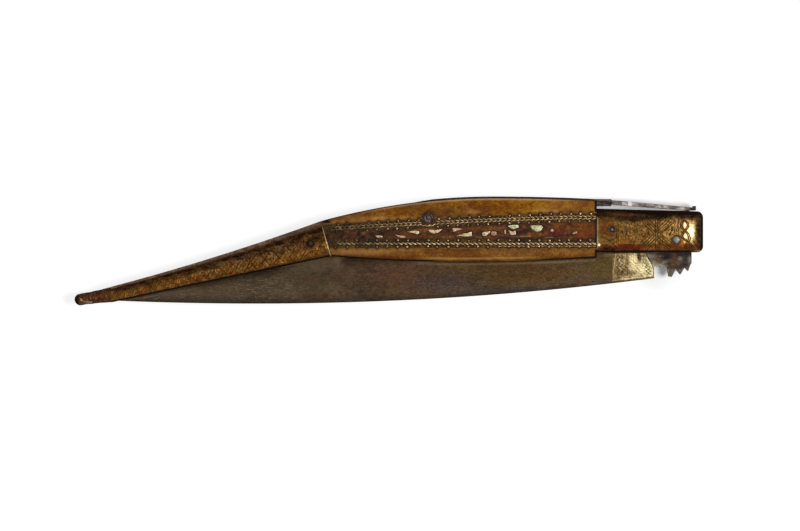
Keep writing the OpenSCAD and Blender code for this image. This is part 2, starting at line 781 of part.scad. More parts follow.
// Ring of the ground blade at station x: spine, false edge, flat, bevel and edge
function blade_ring(x) =
    let (
        low = spine_y(x),
        high = edge_y(x),
        h = high - low,
        t = blade_half_t(x),
        u = min(1, (-root_behind - x) / plunge_l),
        v = (-root_behind - x) / (-root_behind - x_point),
        spine_t = t - (blade_t - false_edge_t) / 2 * pow(v, 1.5) * t / (blade_t / 2),
        false_h = min(0.3 * h, 0.2 + false_edge_h * v),
        grind_t = t + (edge_t / 2 - t) * u,
        grind_y = high - bevel_share * h * u - 0.2
    )
    [
        [x, low, -spine_t], [x, low + false_h, -t], [x, grind_y, -t], [x, high, -grind_t],
        [x, high, grind_t], [x, grind_y, t], [x, low + false_h, t], [x, low, spine_t]
    ];

module blade() {
    xs = concat(
        [for (u = [0, 0.25, 0.5, 0.75, 1]) -root_behind - plunge_l * u],
        [for (i = [1 : 26]) -root_behind - plunge_l + (x_point + root_behind + plunge_l) * i / 26]
    );
    color("slategray") placed() difference() {
        union() {
            loft([for (x = xs) blade_ring(x)]);
            translate([0, 0, -blade_t / 2]) linear_extrude(blade_t) difference() {
                polygon(tang_outline);
                translate([-root_behind + 2 * choil_r, edge_root_y]) circle(r = choil_r);
            }
        }
        translate([0, 0, -blade_t]) cylinder(r = pivot_r + run_clear, h = 2 * blade_t);
        for (z = [-blade_t / 2 - 1, blade_t / 2 - overlay_t])
            translate([0, 0, z]) linear_extrude(overlay_t + 1) overlay_outline();
    }
}

// Brass overlay: straight at the blade, hollow towards the ratchet
module overlay_outline() {
    x_near = -spine_corner_behind - overlay_rim;
    x_far = x_near - overlay_l;
    polygon([
        [x_far + 0.9, -overlay_top_drop],
        [x_far, spine_y(x_far) + overlay_rim],
        [x_near, spine_y(x_near) + overlay_rim],
        [x_near, -root_r],
        [x_near - 1, -root_r + 2.5],
        [x_near - 3.6, -overlay_top_drop]
    ]);
}

module ricasso_overlay(side) {
    color("khaki") on_side(side) translate([0, 0, blade_t / 2 - overlay_t])
        linear_extrude(overlay_t) overlay_outline();
}

// Back spring

x_block = x_bolster + block_l;

function spring_top_y(x) =
    let (x_out = spring_rivet[0], x_rear = spring_rivet[0] - spring_rear_l)
    back_y(x) + spring_proud - (spring_proud + 0.6) * max(0, (x_out - x) / (x_out - x_rear));

module back_spring() {
    x_rear = spring_rivet[0] - spring_rear_l;
    block_top = horn_front_top_y + spring_proud;
    paddle_top = block_top - block_step;
    window_front = bar_end - bar_l;
    leaf_xs = concat(along(x_rear, x_peak, 10), along(x_peak, x_bolster, 6));
    leaf_floor = along(x_bolster, spring_rivet[0] + 3 * spring_eye_r, 6);
    half_neck = z_slot - spring_clear;
    half_paddle = paddle_w / 2;
    color("gray") placed() difference() {
        union() {
            translate([0, 0, -half_neck]) linear_extrude(2 * half_neck) {
                polygon(concat(
                    [for (x = leaf_xs) [x, spring_top_y(x)]],
                    [[x_block, block_top], [x_block, block_top - leaf_block_t]],
                    [[x_bolster, block_top - leaf_block_t]],
                    [
                        for (i = [1 : len(leaf_floor) - 1])
                        let (x = leaf_floor[i])
                        let (t = line(x, x_bolster, leaf_block_t, leaf_floor[6], leaf_rear_t))
                        [x, back_y(x) + spring_proud - t]
                    ],
                    [spring_rivet + [spring_eye_r, 0], spring_rivet - [spring_eye_r, 0]],
                    [[x_rear, spring_top_y(x_rear) - 2]]
                ));
                translate(spring_rivet) circle(r = spring_eye_r);
            }
            intersection() {
                translate([0, 0, -half_paddle]) linear_extrude(2 * half_paddle) polygon([
                    [x_block - 1, paddle_top], [bar_end, bar_under_y + paddle_front_t],
                    [bar_end, bar_under_y], [window_front, bar_under_y],
                    [window_front - window_l, line(window_front - window_l, window_front, bar_under_y,
                        x_block, paddle_top - paddle_rear_t)],
                    [x_block - 1, paddle_top - paddle_rear_t]
                ]);
                translate([0, back_peak_y + 2, 0]) rotate([90, 0, 0])
                    linear_extrude(back_peak_y) paddle_plan();
            }
            translate([bar_end - 1.2, bar_under_y + paddle_front_t / 2, -half_paddle + 1])
                cube([1.2, paddle_front_t / 2 + lip_h, 2 * half_paddle - 2]);
        }
        drill(spring_rivet, spring_rivet_r + run_clear, -z_slot, z_slot);
        translate([window_front - window_l, bar_under_y - 1, -window_w / 2])
            cube([window_l, back_peak_y, window_w]);
    }
}

// Plan of the wide end, seen along the spring's thickness
module paddle_plan() {
    half_neck = z_slot - spring_clear;
    half_paddle = paddle_w / 2;
    round_in = 1.5;
    polygon([
        [x_block - 1, -half_neck], [x_block, -half_neck], [x_block + 4, -half_paddle],
        [bar_end - round_in, -half_paddle], [bar_end, round_in - half_paddle],
        [bar_end, half_paddle - round_in], [bar_end - round_in, half_paddle],
        [x_block + 4, half_paddle], [x_block, half_neck], [x_block - 1, half_neck]
    ]);
}

liner("front");  // liner_front
liner("back");  // liner_back
tail_spacer();
tail_tip();
horn_scale("front");  // horn_scale_front
horn_scale("back");  // horn_scale_back
bolster("front");  // bolster_front
bolster("back");  // bolster_back
tail_core("front");  // tail_core_front
tail_core("back");  // tail_core_back
tail_sheet("front");  // tail_sheet_front
tail_sheet("back");  // tail_sheet_back
upper_bed("front");  // upper_bed_front
upper_bed("back");  // upper_bed_back
lower_bed("front");  // lower_bed_front
lower_bed("back");  // lower_bed_back
centre_strip("front");  // centre_strip_front
centre_strip("back");  // centre_strip_back
pearl_chips("front");  // pearl_chips_front
pearl_chips("back");  // pearl_chips_back
band_studs("front");  // band_studs_front
band_studs("back");  // band_studs_back
twisted_wires("front");  // twisted_wires_front
twisted_wires("back");  // twisted_wires_back
headed_pin([0, 0], pivot_r, pivot_head_r, z_bolster, head_h);  // pivot_pin
flush_pin(bolster_rivet, bolster_rivet_r, z_bolster + bolster_washer_t + 0.1);
flush_pin(spring_rivet, spring_rivet_r, z_horn);
flush_pin(tail_pin, tail_pin_r, tail_z(tail_pin[0]));
bolster_washer("front");  // bolster_washer_front
bolster_washer("back");  // bolster_washer_back
spring_washer("front");  // spring_washer_front
spring_washer("back");  // spring_washer_back
blade();
ricasso_overlay("front");  // ricasso_overlay_front
ricasso_overlay("back");  // ricasso_overlay_back
back_spring();
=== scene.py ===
"""Folding knife with a ratchet lock, closed on its side: its detail, finishes, light and camera.

Lengths in the making of pieces are millimetres from the pivot, X towards the pivot end, Y towards the back
spring and Z from the middle of the blade. The frame's own metres come in through PIVOT and MM.
"""

import json
import math

import bmesh
import bpy
import numpy as np
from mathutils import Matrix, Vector


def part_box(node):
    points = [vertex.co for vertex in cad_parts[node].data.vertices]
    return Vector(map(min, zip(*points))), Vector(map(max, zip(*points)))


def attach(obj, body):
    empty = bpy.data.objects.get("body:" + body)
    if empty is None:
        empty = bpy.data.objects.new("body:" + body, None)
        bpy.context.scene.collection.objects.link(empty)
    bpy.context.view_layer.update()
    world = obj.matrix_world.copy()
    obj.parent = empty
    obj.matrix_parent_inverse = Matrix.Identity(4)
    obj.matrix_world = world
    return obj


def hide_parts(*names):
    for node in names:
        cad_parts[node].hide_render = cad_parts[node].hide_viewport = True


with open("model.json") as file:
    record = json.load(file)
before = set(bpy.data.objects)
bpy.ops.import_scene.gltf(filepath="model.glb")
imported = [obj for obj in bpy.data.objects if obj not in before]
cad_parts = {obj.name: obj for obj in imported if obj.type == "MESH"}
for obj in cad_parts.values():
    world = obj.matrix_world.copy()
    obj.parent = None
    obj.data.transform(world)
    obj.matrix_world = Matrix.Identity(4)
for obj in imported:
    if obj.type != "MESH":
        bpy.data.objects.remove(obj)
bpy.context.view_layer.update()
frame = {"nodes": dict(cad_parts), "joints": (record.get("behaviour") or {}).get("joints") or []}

# Places taken from the frame

MM = 0.001


def joint_place(name):
    """Where a joint turns, in the frame's metres."""
    row = next(j for j in frame["joints"] if j["name"] == name)
    return np.array(row["pos_m"], float)


PIVOT = joint_place("blade_pivot")


def span(node, axis):
    """Lowest and highest place of a CAD node along an axis, in millimetres from the pivot."""
    low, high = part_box(node)
    return (low[axis] - PIVOT[axis]) / MM, (high[axis] - PIVOT[axis]) / MM


def middle(node):
    """Middle of a CAD node in X and Y, in millimetres from the pivot."""
    return np.array([sum(span(node, axis)) / 2 for axis in (0, 1)])


X_BOLSTER, X_FRONT = span("bolster_front", 0)
X_TAIL_END, X_KNEE = span("tail_sheet_front", 0)
X_KNEE_TOP = span("horn_scale_front", 0)[0]
X_TIP = span("tail_tip", 0)[0]
X_POINT = span("blade", 0)[0]
Z_BLADE = span("blade", 2)[1]
Z_LINER = span("liner_front", 2)[1]
Z_BOLSTER = span("bolster_front", 2)[1]
Z_HORN = span("horn_scale_front", 2)[1]
Z_POCKET, Z_BED = span("upper_bed_front", 2)
SPRING_RIVET = ((joint_place("spring_lift") - PIVOT) / MM)[:2]
BOLSTER_RIVET = middle("bolster_rivet")
TAIL_PIN = middle("tail_pin")
SIDES = {"front": 1, "back": -1}

# Curves of the outline. The horn's back is highest at PEAK and its belly lowest at BELLY. The horn ends at
# HORN_TOP and HORN_FOOT by the bolster, and at KNEE_TOP and KNEE by its slanting joint with the tail.

PEAK = (X_BOLSTER - 39.7, 16.1)
HORN_TOP = (X_BOLSTER, 15.1)
KNEE_TOP = (X_KNEE_TOP, 7.15)
BELLY = (X_BOLSTER - 53.7, -8.4)
HORN_FOOT = (X_BOLSTER, -6.8)
KNEE = (X_KNEE, -6.25)
TAIL_TOP_END = (X_TAIL_END, -17.9)
TAIL_FOOT_END = (X_TAIL_END, -23.9)
TAIL_SAG = 1.0
TIP_MIDDLE_Y = -22.8
TIP_R = 2.3
BOLSTER_TOP = (11.9, 10.8)
BOLSTER_FOOT = -4.8
BOLSTER_CORNER_R = 2.2

# The two bands of inlay: their height, their middles, and the dip of the upper one towards the tail

BAND_H = 4.0
LOWER_BAND_Y = -1.6
UPPER_BAND_Y = 8.6
UPPER_BAND_DIP = 4.2
X_DIP = X_BOLSTER - 9.7
DIP_POWER = 1.3

# Thickness of the tail over its liner, at its end and at the knee, and of its sheet

TAIL_END_T = 1.4
TAIL_KNEE_T = 4.5
SHEET_T = 0.5


def fixed(value):
    """A line at one height."""
    return lambda x: np.full_like(x, value)


def raised(line, by):
    """A line moved up by a height."""
    return lambda x: line(x) + by


def between(low, high, share):
    """A line at a share of the way from one line to another."""
    return lambda x: low(x) + (high(x) - low(x)) * share


def bow(x, peak, through):
    """Parabola with its peak at one point, through another."""
    return peak[1] + (through[1] - peak[1]) * ((x - peak[0]) / (through[0] - peak[0])) ** 2


def straight(x, start, end):
    """Straight line through two points."""
    return start[1] + (end[1] - start[1]) * (x - start[0]) / (end[0] - start[0])


def corner_fall(x, x_end, radius):
    """How far a rounded corner has dropped near its end."""
    over = np.clip(x - x_end + radius, 0, radius)
    return radius - np.sqrt(radius * radius - over * over)


def horn_top(x):
    """Back of the handle along the horn."""
    return np.where(x < PEAK[0], bow(x, PEAK, KNEE_TOP), bow(x, PEAK, HORN_TOP))


def horn_foot(x):
    """Belly of the handle along the horn."""
    return np.where(x < BELLY[0], bow(x, BELLY, KNEE), bow(x, BELLY, HORN_FOOT))


def tail_top(x):
    """Back of the tail, which sags a little."""
    along = (x - X_TAIL_END) / (X_KNEE_TOP - X_TAIL_END)
    return straight(x, TAIL_TOP_END, KNEE_TOP) - 4 * TAIL_SAG * along * (1 - along)


def tail_foot(x):
    """Lower edge of the tail."""
    return straight(x, TAIL_FOOT_END, KNEE)


def tail_face(x):
    """Height of the tail's face above the middle of the blade."""
    return straight(x, (X_TAIL_END, Z_LINER + TAIL_END_T), (X_KNEE, Z_LINER + TAIL_KNEE_T))


def bolster_top(x):
    """Upper edge of the bolster."""
    edge = straight(x, (X_BOLSTER, BOLSTER_TOP[0]), (X_FRONT, BOLSTER_TOP[1]))
    return edge - corner_fall(x, X_FRONT, BOLSTER_CORNER_R)


def bolster_foot(x):
    """Lower edge of the bolster."""
    return BOLSTER_FOOT + corner_fall(x, X_FRONT, BOLSTER_CORNER_R)


def upper_mid(x):
    """Middle of the upper band of inlay, which dips towards the tail."""
    behind = np.maximum(0, X_DIP - x) / (X_DIP - X_KNEE)
    return UPPER_BAND_Y - UPPER_BAND_DIP * behind ** DIP_POWER


def lean(y):
    """How far the joint of horn and tail lies back at height y."""
    return (X_KNEE - X_KNEE_TOP) * (y - KNEE[1]) / (KNEE_TOP[1] - KNEE[1])


# Camera, light and floor

# Width and middle of what the camera sees, its lens and sensor, and how near and far it sees

VIEW_WIDTH = 305.76 * MM
VIEW_MIDDLE = Vector((4.35, -5.55, 7.5)) * MM
LENS = 300.0
SENSOR = 36.0
NEAREST = 0.1
FARTHEST = 50

# Lamps: place and size in metres, power in watts, and colour. The sky's colour and strength.

LAMPS = {
    "key_lamp": ((0.54, -0.06, 1.12), (0.3, 0.3), 11.6, (1.0, 0.985, 0.965)),
    "fill_lamp": ((-0.5, 0.5, 1.0), (0.7, 0.7), 2.2, (1.0, 1.0, 1.0)),
}
SKY = ((0.80, 0.89, 1.0), 0.25)


def aim(thing, target):
    """Turns an object's -Z at a target."""
    thing.rotation_euler = (Vector(target) - thing.location).to_track_quat("-Z", "Y").to_euler()


def add_camera():
    """A long lens looking straight down, as the photograph was taken."""
    camera = bpy.data.objects.new("camera", bpy.data.cameras.new("camera"))
    camera.data.lens = LENS
    camera.data.sensor_width = SENSOR
    distance = VIEW_WIDTH / 2 / (SENSOR / 2 / LENS)
    camera.location = VIEW_MIDDLE + Vector((0, 0, distance))
    camera.data.clip_start = NEAREST
    camera.data.clip_end = FARTHEST
    bpy.context.scene.collection.objects.link(camera)
    bpy.context.scene.camera = camera


def add_lamp(name, place, size, power, colour):
    """A soft rectangular lamp aimed at the knife."""
    lamp = bpy.data.objects.new(name, bpy.data.lights.new(name, "AREA"))
    lamp.data.shape = "RECTANGLE"
    lamp.data.size = size[0]
    lamp.data.size_y = size[1]
    lamp.data.energy = power
    lamp.data.color = colour
    lamp.location = place
    bpy.context.scene.collection.objects.link(lamp)
    aim(lamp, VIEW_MIDDLE)


def add_world(colour, strength):
    """Even light from all round."""
    world = bpy.data.worlds.new("studio")
    world.use_nodes = True
    background = world.node_tree.nodes["Background"]
    background.inputs["Color"].default_value = (*colour, 1.0)
    background.inputs["Strength"].default_value = strength
    bpy.context.scene.world = world


# Shader tools


def rgb(red, green, blue):
    """A colour given as a paint chart gives it, from 0 to 255, as Blender's linear one."""
    def linear(value):
        value = value / 255
        return value / 12.92 if value <= 0.04045 else ((value + 0.055) / 1.055) ** 2.4
    return (linear(red), linear(green), linear(blue), 1.0)


class Reading:
    """One output of a material's nodes. Arithmetic on it adds Math nodes."""

    def __init__(self, finish, socket):
        self.finish = finish
        self.socket = socket

    def _maths(self, operation, first, second, clamp=False):
        settings = {"operation": operation, "use_clamp": clamp}
        return self.finish.node("ShaderNodeMath", settings, {0: first, 1: second})

    def __add__(self, other):
        return self._maths("ADD", self, other)

    __radd__ = __add__

    def __sub__(self, other):
        return self._maths("SUBTRACT", self, other)

    def __rsub__(self, other):
        return self._maths("SUBTRACT", other, self)

    def __mul__(self, other):
        return self._maths("MULTIPLY", self, other)

    __rmul__ = __mul__

    def __truediv__(self, other):
        return self._maths("DIVIDE", self, other)

    def __rtruediv__(self, other):
        return self._maths("DIVIDE", other, self)

    def clamped(self):
        """The value, kept from 0 to 1."""
        return self._maths("ADD", self, 0.0, clamp=True)

    def window(self, low, high):
        """0 below low, 1 above high, and smooth in between."""
        settings = {"interpolation_type": "SMOOTHSTEP"}
        return self.finish.node("ShaderNodeMapRange", settings, {0: self, 1: low, 2: high, 3: 0.0, 4: 1.0})


class Finish:
    """A procedural material of one of the knife's surfaces."""

    def __init__(self, name):
        self.material = bpy.data.materials.new(name)
        self.material.use_nodes = True
        self.tree = self.material.node_tree
        self.tree.nodes.clear()
        place = self.node("ShaderNodeTexCoord", out="Object")
        self.place = self.node("ShaderNodeVectorMath", {"operation": "SCALE"}, {0: place, "Scale": 1 / MM})

    def node(self, kind, settings=None, sockets=None, out=0):
        """Adds a node: its settings first, then values or links for its sockets. Gives one output back."""
        made = self.tree.nodes.new(kind)
        for key, value in (settings or {}).items():
            if key == "stops":
                ramp = made.color_ramp.elements
                while len(ramp) < len(value):
                    ramp.new(0.5)
                for element, (position, colour) in zip(ramp, value):
                    element.position = position
                    element.color = colour
            else:
                setattr(made, key, value)
        for key, value in (sockets or {}).items():
            if isinstance(value, Reading):
                self.tree.links.new(value.socket, made.inputs[key])
            else:
                made.inputs[key].default_value = value
        return Reading(self, made.outputs[out]) if made.outputs else made

    def noise(self, size, stretch=(1, 1, 1), detail=4.0, rough=0.55, seed=0.0):
        """Smooth noise whose clouds are about size millimetres, drawn out by stretch."""
        pace = tuple(1 / (size * s) for s in stretch)
        scaled = self.node("ShaderNodeVectorMath", {"operation": "MULTIPLY"}, {0: self.place, 1: pace})
        moved = self.node("ShaderNodeVectorMath", {"operation": "ADD"}, {0: scaled, 1: (seed, seed, seed)})
        sockets = {"Vector": moved, "Scale": 1.0, "Detail": detail, "Roughness": rough}
        return self.node("ShaderNodeTexNoise", None, sockets)

    def along(self):
        """Place along the knife, in millimetres from the pivot."""
        return self.node("ShaderNodeSeparateXYZ", None, {0: self.place}) - PIVOT[0] / MM

    def trait(self, name):
        """A value that the piece's own mesh carries at each point, 0 where it has none."""
        return self.node("ShaderNodeAttribute", {"attribute_name": name}, out="Fac")

    def ramp(self, value, stops):
        """Colour that changes with a value, through the paint-chart colours at its stops."""
        stops = [(position, rgb(*colour)) for position, colour in stops]
        return self.node("ShaderNodeValToRGB", {"stops": stops}, {0: value})

    def mix(self, share, first, second):
        """Colour at a share of the way from one to another. Each comes from a node or a paint chart."""
        first, second = (c if isinstance(c, Reading) else rgb(*c) for c in (first, second))
        return self.node("ShaderNodeMix", {"data_type": "RGBA"}, {0: share, 6: first, 7: second}, out=2)

    def toned(self, colour, tones, unevenness):
        """The colour, turned to other tones where the mesh's traits of those names say so."""
        for name, tone in tones.items():
            colour = self.mix((self.trait(name) * (0.65 + unevenness * 0.7)).clamped(), colour, tone)
        return colour

    def bump(self, height, depth):
        """Small relief: height from 0 to 1 stands for depth millimetres."""
        return self.node("ShaderNodeBump", None, {"Height": height, "Strength": 1.0, "Distance": depth * MM})

    def done(self, **sockets):
        """Closes the material with one surface shader."""
        named = {key.replace("_", " "): value for key, value in sockets.items()}
        surface = self.node("ShaderNodeBsdfPrincipled", None, named)
        self.node("ShaderNodeOutputMaterial", None, {"Surface": surface})
        return self.material


# Middles of the two deep shadows painted into the floor's glow, in the notch and below the spring, in the
# frame's millimetres, and how far each one reaches along and across

SHADES = [
    (tuple(PIVOT / MM * (1, 1, 0) + (-6.0, -12.0, 0.0)), (8.0, 8.0, 1.0)),
    (tuple(PIVOT / MM * (1, 1, 0) + (-12.0, 13.4, 0.0)), (30.0, 2.6, 1.0)),
]
FLOOR_HALF = 3.0
FLOOR_DROP = 0.02
FLOOR_WHITE = (0.98, 0.98, 0.98, 1.0)
GLOW_WHITE = (1.0, 1.0, 1.0, 1.0)
GLOW = 1.1
LEAST_GLOW = 0.12
OPEN_GLOW = 0.6


def clear_of_painted_shadow(paper, place, reach):
    """0 where a deep shadow is painted on the floor, 1 away from it."""
    moved = paper.node("ShaderNodeVectorMath", {"operation": "SUBTRACT"}, {0: paper.place, 1: place})
    scaled = paper.node("ShaderNodeVectorMath", {"operation": "DIVIDE"}, {0: moved, 1: reach})
    away = paper.node("ShaderNodeVectorMath", {"operation": "LENGTH"}, {0: scaled}, out="Value")
    return away.window(0.5, 1.5)


def add_floor():
    """A plain white table under the knife, which glows a little, and less where deep shadow is painted."""
    mesh = bpy.data.meshes.new("floor")
    corners = [(FLOOR_HALF * x, FLOOR_HALF * y, 0) for x, y in ((-1, -1), (1, -1), (1, 1), (-1, 1))]
    mesh.from_pydata(corners, [], [(0, 1, 2, 3)])
    floor = bpy.data.objects.new("floor", mesh)
    floor.location.z = -FLOOR_DROP * MM
    bpy.context.scene.collection.objects.link(floor)
    paper = Finish("white_table")
    seen, glossy, through = (paper.node("ShaderNodeLightPath", out=ray)
                             for ray in ("Is Camera Ray", "Is Glossy Ray", "Is Transmission Ray"))
    # Painted shadow: the glow is weaker in the notch and below the spring
    notch, below_spring = (clear_of_painted_shadow(paper, place, reach) for place, reach in SHADES)
    share = (seen + glossy + through).clamped() * (LEAST_GLOW + below_spring * notch * OPEN_GLOW)
    plain = paper.node("ShaderNodeBsdfDiffuse", None, {"Color": FLOOR_WHITE})
    glow = paper.node("ShaderNodeEmission", None, {"Color": GLOW_WHITE, "Strength": GLOW})
    mixed = paper.node("ShaderNodeMixShader", None, {0: share, 1: plain, 2: glow})
    paper.node("ShaderNodeOutputMaterial", None, {"Surface": mixed})
    mesh.materials.append(paper.material)


# Finishes


def amber_horn():
    """Polished amber horn: soft clouds of orange and tan, dark where dirt sits by the inlay and the edges,
    with painted shade along the belly and painted sheen along the shoulders.
    """
    f = Finish("amber_horn")
    cloud = f.noise(8.0, (1.7, 1, 1), 3.0, 0.5, 7.7)
    mottle = f.noise(1.9, (1.4, 1, 1), 4.0, 0.6, 1.9)
    grain = f.noise(0.42, (1.5, 1, 1), 3.0, 0.6, 3.1)
    depth = (cloud * 0.3 + mottle * 0.3 + grain * 0.4).window(0.39, 0.61)
    tan = f.ramp(depth, [
        (0.0, (88, 52, 18)), (0.4, (108, 68, 26)), (0.75, (126, 82, 34)), (1.0, (148, 104, 52)),
    ])
    orange = f.ramp(depth, [
        (0.0, (88, 46, 2)), (0.4, (112, 62, 2)), (0.75, (128, 79, 4)), (1.0, (148, 99, 16)),
    ])
    amber = f.mix(f.trait("warm"), tan, orange)
    # The pale and bright tones also paint sheen along the horn's shoulders
    amber = f.toned(amber, {"worn": (190, 142, 84), "bright": (232, 214, 180)}, mottle)
    # Dark from the mesh: dirt, and painted shade along the belly
    dirt_and_shade = (f.trait("grime") * (0.7 + mottle * 0.6)).clamped()
    colour = f.mix(dirt_and_shade, amber, (30, 16, 8))
    rough = (0.4 + mottle * 0.16 + dirt_and_shade * 0.3).clamped()
    relief = f.bump(mottle * 0.6 + grain * 0.4, 0.04)
    return f.done(Base_Color=colour, Roughness=rough, Normal=relief, Specular_IOR_Level=0.05)


def brass(name, clean, brown, dark, tones, shine=0.75, fine=1.0, seed=0.0, rust=0.6, fleck=0.35):
    """Old brass: clean metal, brown tarnish over it, other tones in places, dark dirt in its grooves."""
    f = Finish(name)
    cloud = f.noise(5.0 * fine, detail=5.0, rough=0.6, seed=seed + 2.2)
    mottle = f.noise(1.1 * fine, detail=4.0, rough=0.6, seed=seed + 9.4)
    grain = f.noise(0.4 * fine, (2, 1, 1), 3.0, 0.6, seed + 4.1)
    film = (cloud * 0.3 + mottle * 0.3 + grain * 0.4).window(0.38, 0.62)
    tarnish = (film - f.trait("worn") * 0.9).clamped()
    colour = f.mix(tarnish, clean, brown)
    if rust:
        patch = f.noise(3.0 * fine, (1.5, 1, 1), 4.0, 0.6, seed + 15.0).window(0.54, 0.66) * rust
        colour = f.mix(patch, colour, tones["red"])
    # The bright tone paints highlights and glints, the grey tone a lighter band along the tail's top edge
    colour = f.toned(colour, tones, mottle)
    spots = f.noise(0.7 * fine, detail=2.0, seed=seed + 31.0).window(0.56, 0.66) * fleck
    # Dark from the mesh: real dirt, and painted shade along edges and creases
    dirt_and_shade = (f.trait("grime") * (0.8 + mottle * 0.5) + spots * (1 - f.trait("bright"))).clamped()
    colour = f.mix(dirt_and_shade, colour, dark)
    metal = (shine - dirt_and_shade * 0.5 - tarnish * 0.1).clamped()
    rough = (0.36 + tarnish * 0.14 + dirt_and_shade * 0.25 + grain * 0.1).clamped()
    relief = f.bump(grain * 0.5 + mottle * 0.5, 0.04)
    return f.done(Base_Color=colour, Metallic=metal, Roughness=rough, Normal=relief, Specular_IOR_Level=0.04)


# Colours of the tang along the knife, how far behind the pivot they begin, and the length they run over
TANG_COLOURS = [
    (0.0, (116, 108, 94)), (0.2, (98, 90, 77)), (0.3, (68, 56, 46)), (0.38, (40, 32, 31)),
    (0.5, (68, 51, 36)), (0.6, (60, 45, 33)), (0.72, (36, 35, 38)), (1.0, (46, 46, 50)),
]
TANG_BEHIND = 10.0
TANG_LENGTH = 18.0


def tang_tone(f, mottle, seed):
    """Mottled colours of the tang, smoked dark and pale."""
    tang = f.ramp((f.along() + TANG_BEHIND) / TANG_LENGTH + (mottle - 0.5) * 0.9, TANG_COLOURS)
    smoke = f.noise(1.6, (1.3, 1, 1), 4.0, 0.6, seed + 41.0)
    tang = f.mix(smoke.window(0.52, 0.64) * 0.7, tang, (24, 20, 22))
    return f.mix(smoke.window(0.46, 0.34) * 0.35, tang, (112, 110, 108))


def scuffed(f, colour, light, dark, bright, seed):
    """The colour of forged steel, with its dark and light grain and its bright scuffs."""
    grain = f.noise(0.5, (1.2, 1, 1), 1.0, 0.5, seed + 60.0)
    colour = f.mix(grain.window(0.5, 0.66) * 0.4, colour, dark)
    colour = f.mix(grain.window(0.48, 0.34) * 0.3, colour, light)
    scuffs = f.noise(0.22, (14, 1, 1), 3.0, 0.6, seed + 47.0).window(0.55, 0.64)
    specks = f.noise(0.5, (1.6, 1, 1), 3.0, 0.6, seed + 52.0).window(0.6, 0.68)
    share = (scuffs * 0.7 + specks * 0.8) * f.trait("scuffed")
    return f.mix(share.clamped(), colour, bright)


def steel(name, light, brown, dark, shine=0.65, along=10.0, rust=0.4, seed=0.0, tones=None, zones=(),
          forged=False):
    """Old steel with a brown bloom, faint lengthwise scratches, rust patches and small pits. A zone is a
    part of another colour. Forged steel also has a mottled tang and scuffed parts."""
    f = Finish(name)
    tones = tones or {}
    bloom = f.noise(7.0, (2.2, 1, 1), 5.0, 0.6, seed + 1.3)
    mottle = f.noise(1.4, (1.5, 1, 1), 5.0, 0.65, seed + 6.2)
    scratch = f.noise(0.3, (along * 3, 1, 1), 4.0, 0.6, seed + 3.3)
    film = ((bloom * 0.5 + mottle * 0.5).window(0.38, 0.60) - f.trait("worn")).clamped()
    colour = f.mix(film, light, brown)
    if "red" in tones:
        patch = f.noise(3.6, (1.6, 1, 1), 5.0, 0.6, seed + 25.0).window(0.53, 0.66) * 0.6
        colour = f.mix(patch, colour, tones["red"])
    for start, end, soft, tone in zones:
        inside = f.along().window(start - soft, start) * f.along().window(end + soft, end)
        colour = f.mix((inside * (0.7 + mottle * 0.5)).clamped(), colour, tone)
    if forged:
        colour = f.mix(f.trait("tang"), colour, tang_tone(f, mottle, seed))
    colour = f.toned(colour, tones, mottle)
    if forged:
        colour = scuffed(f, colour, light, dark, tones["bright"], seed)
    pits = f.noise(0.7, detail=3.0, rough=0.6, seed=seed + 17.0).window(0.58, 0.68)
    spots = f.noise(3.0, (1.6, 1, 1), 5.0, 0.6, seed + 11.0).window(0.56, 0.68) * rust
    colour = f.mix((spots + pits * 0.45).clamped(), colour, dark)
    # Dark from the mesh: dirt, and painted shade such as the handle's shadow on the blade
    colour = f.mix((f.trait("grime") * (0.8 + mottle * 0.4)).clamped(), colour, dark)
    colour = f.mix((f.trait("worn") * (0.4 + mottle)).clamped(), colour, light)
    colour = f.mix(scratch.window(0.54, 0.68) * 0.3, colour, light)
    metal = (shine - film * 0.25 - pits * 0.3).clamped()
    rough = (0.38 + film * 0.16 + scratch * 0.12 + pits * 0.2).clamped()
    relief = f.bump(scratch * 0.5 + mottle * 0.3 - pits * 0.6, 0.04)
    return f.done(Base_Color=colour, Metallic=metal, Roughness=rough, Normal=relief, Specular_IOR_Level=0.1)


def stained_horn(name):
    """Red-brown horn of the centre strip, orange in places, dark with cement round the chips."""
    f = Finish(name)
    mottle = f.noise(1.3, (1.6, 1, 1), 5.0, 0.62, 2.0)
    cloud = f.noise(6.0, (1.8, 1, 1), 4.0, 0.55, 8.0)
    depth = (mottle * 0.5 + cloud * 0.5).window(0.38, 0.62)
    red = f.ramp(depth, [
        (0.0, (46, 24, 14)), (0.4, (76, 42, 22)), (0.75, (98, 58, 26)), (1.0, (122, 80, 38)),
    ])
    amber = f.ramp(depth, [(0.0, (96, 46, 8)), (0.6, (124, 72, 16)), (1.0, (142, 92, 30))])
    colour = f.mix(f.trait("warm"), red, amber)
    colour = f.mix(f.trait("red"), colour, (112, 36, 22))
    colour = f.mix((f.trait("worn") * (0.5 + mottle)).clamped(), colour, (176, 136, 96))
    dirt_and_shade = (f.trait("grime") * (0.7 + cloud * 0.6)).clamped()
    colour = f.mix(dirt_and_shade, colour, (38, 28, 24))
    rough = (0.4 + mottle * 0.2 + dirt_and_shade * 0.3).clamped()
    return f.done(Base_Color=colour, Roughness=rough, Normal=f.bump(mottle, 0.05), Specular_IOR_Level=0.06)


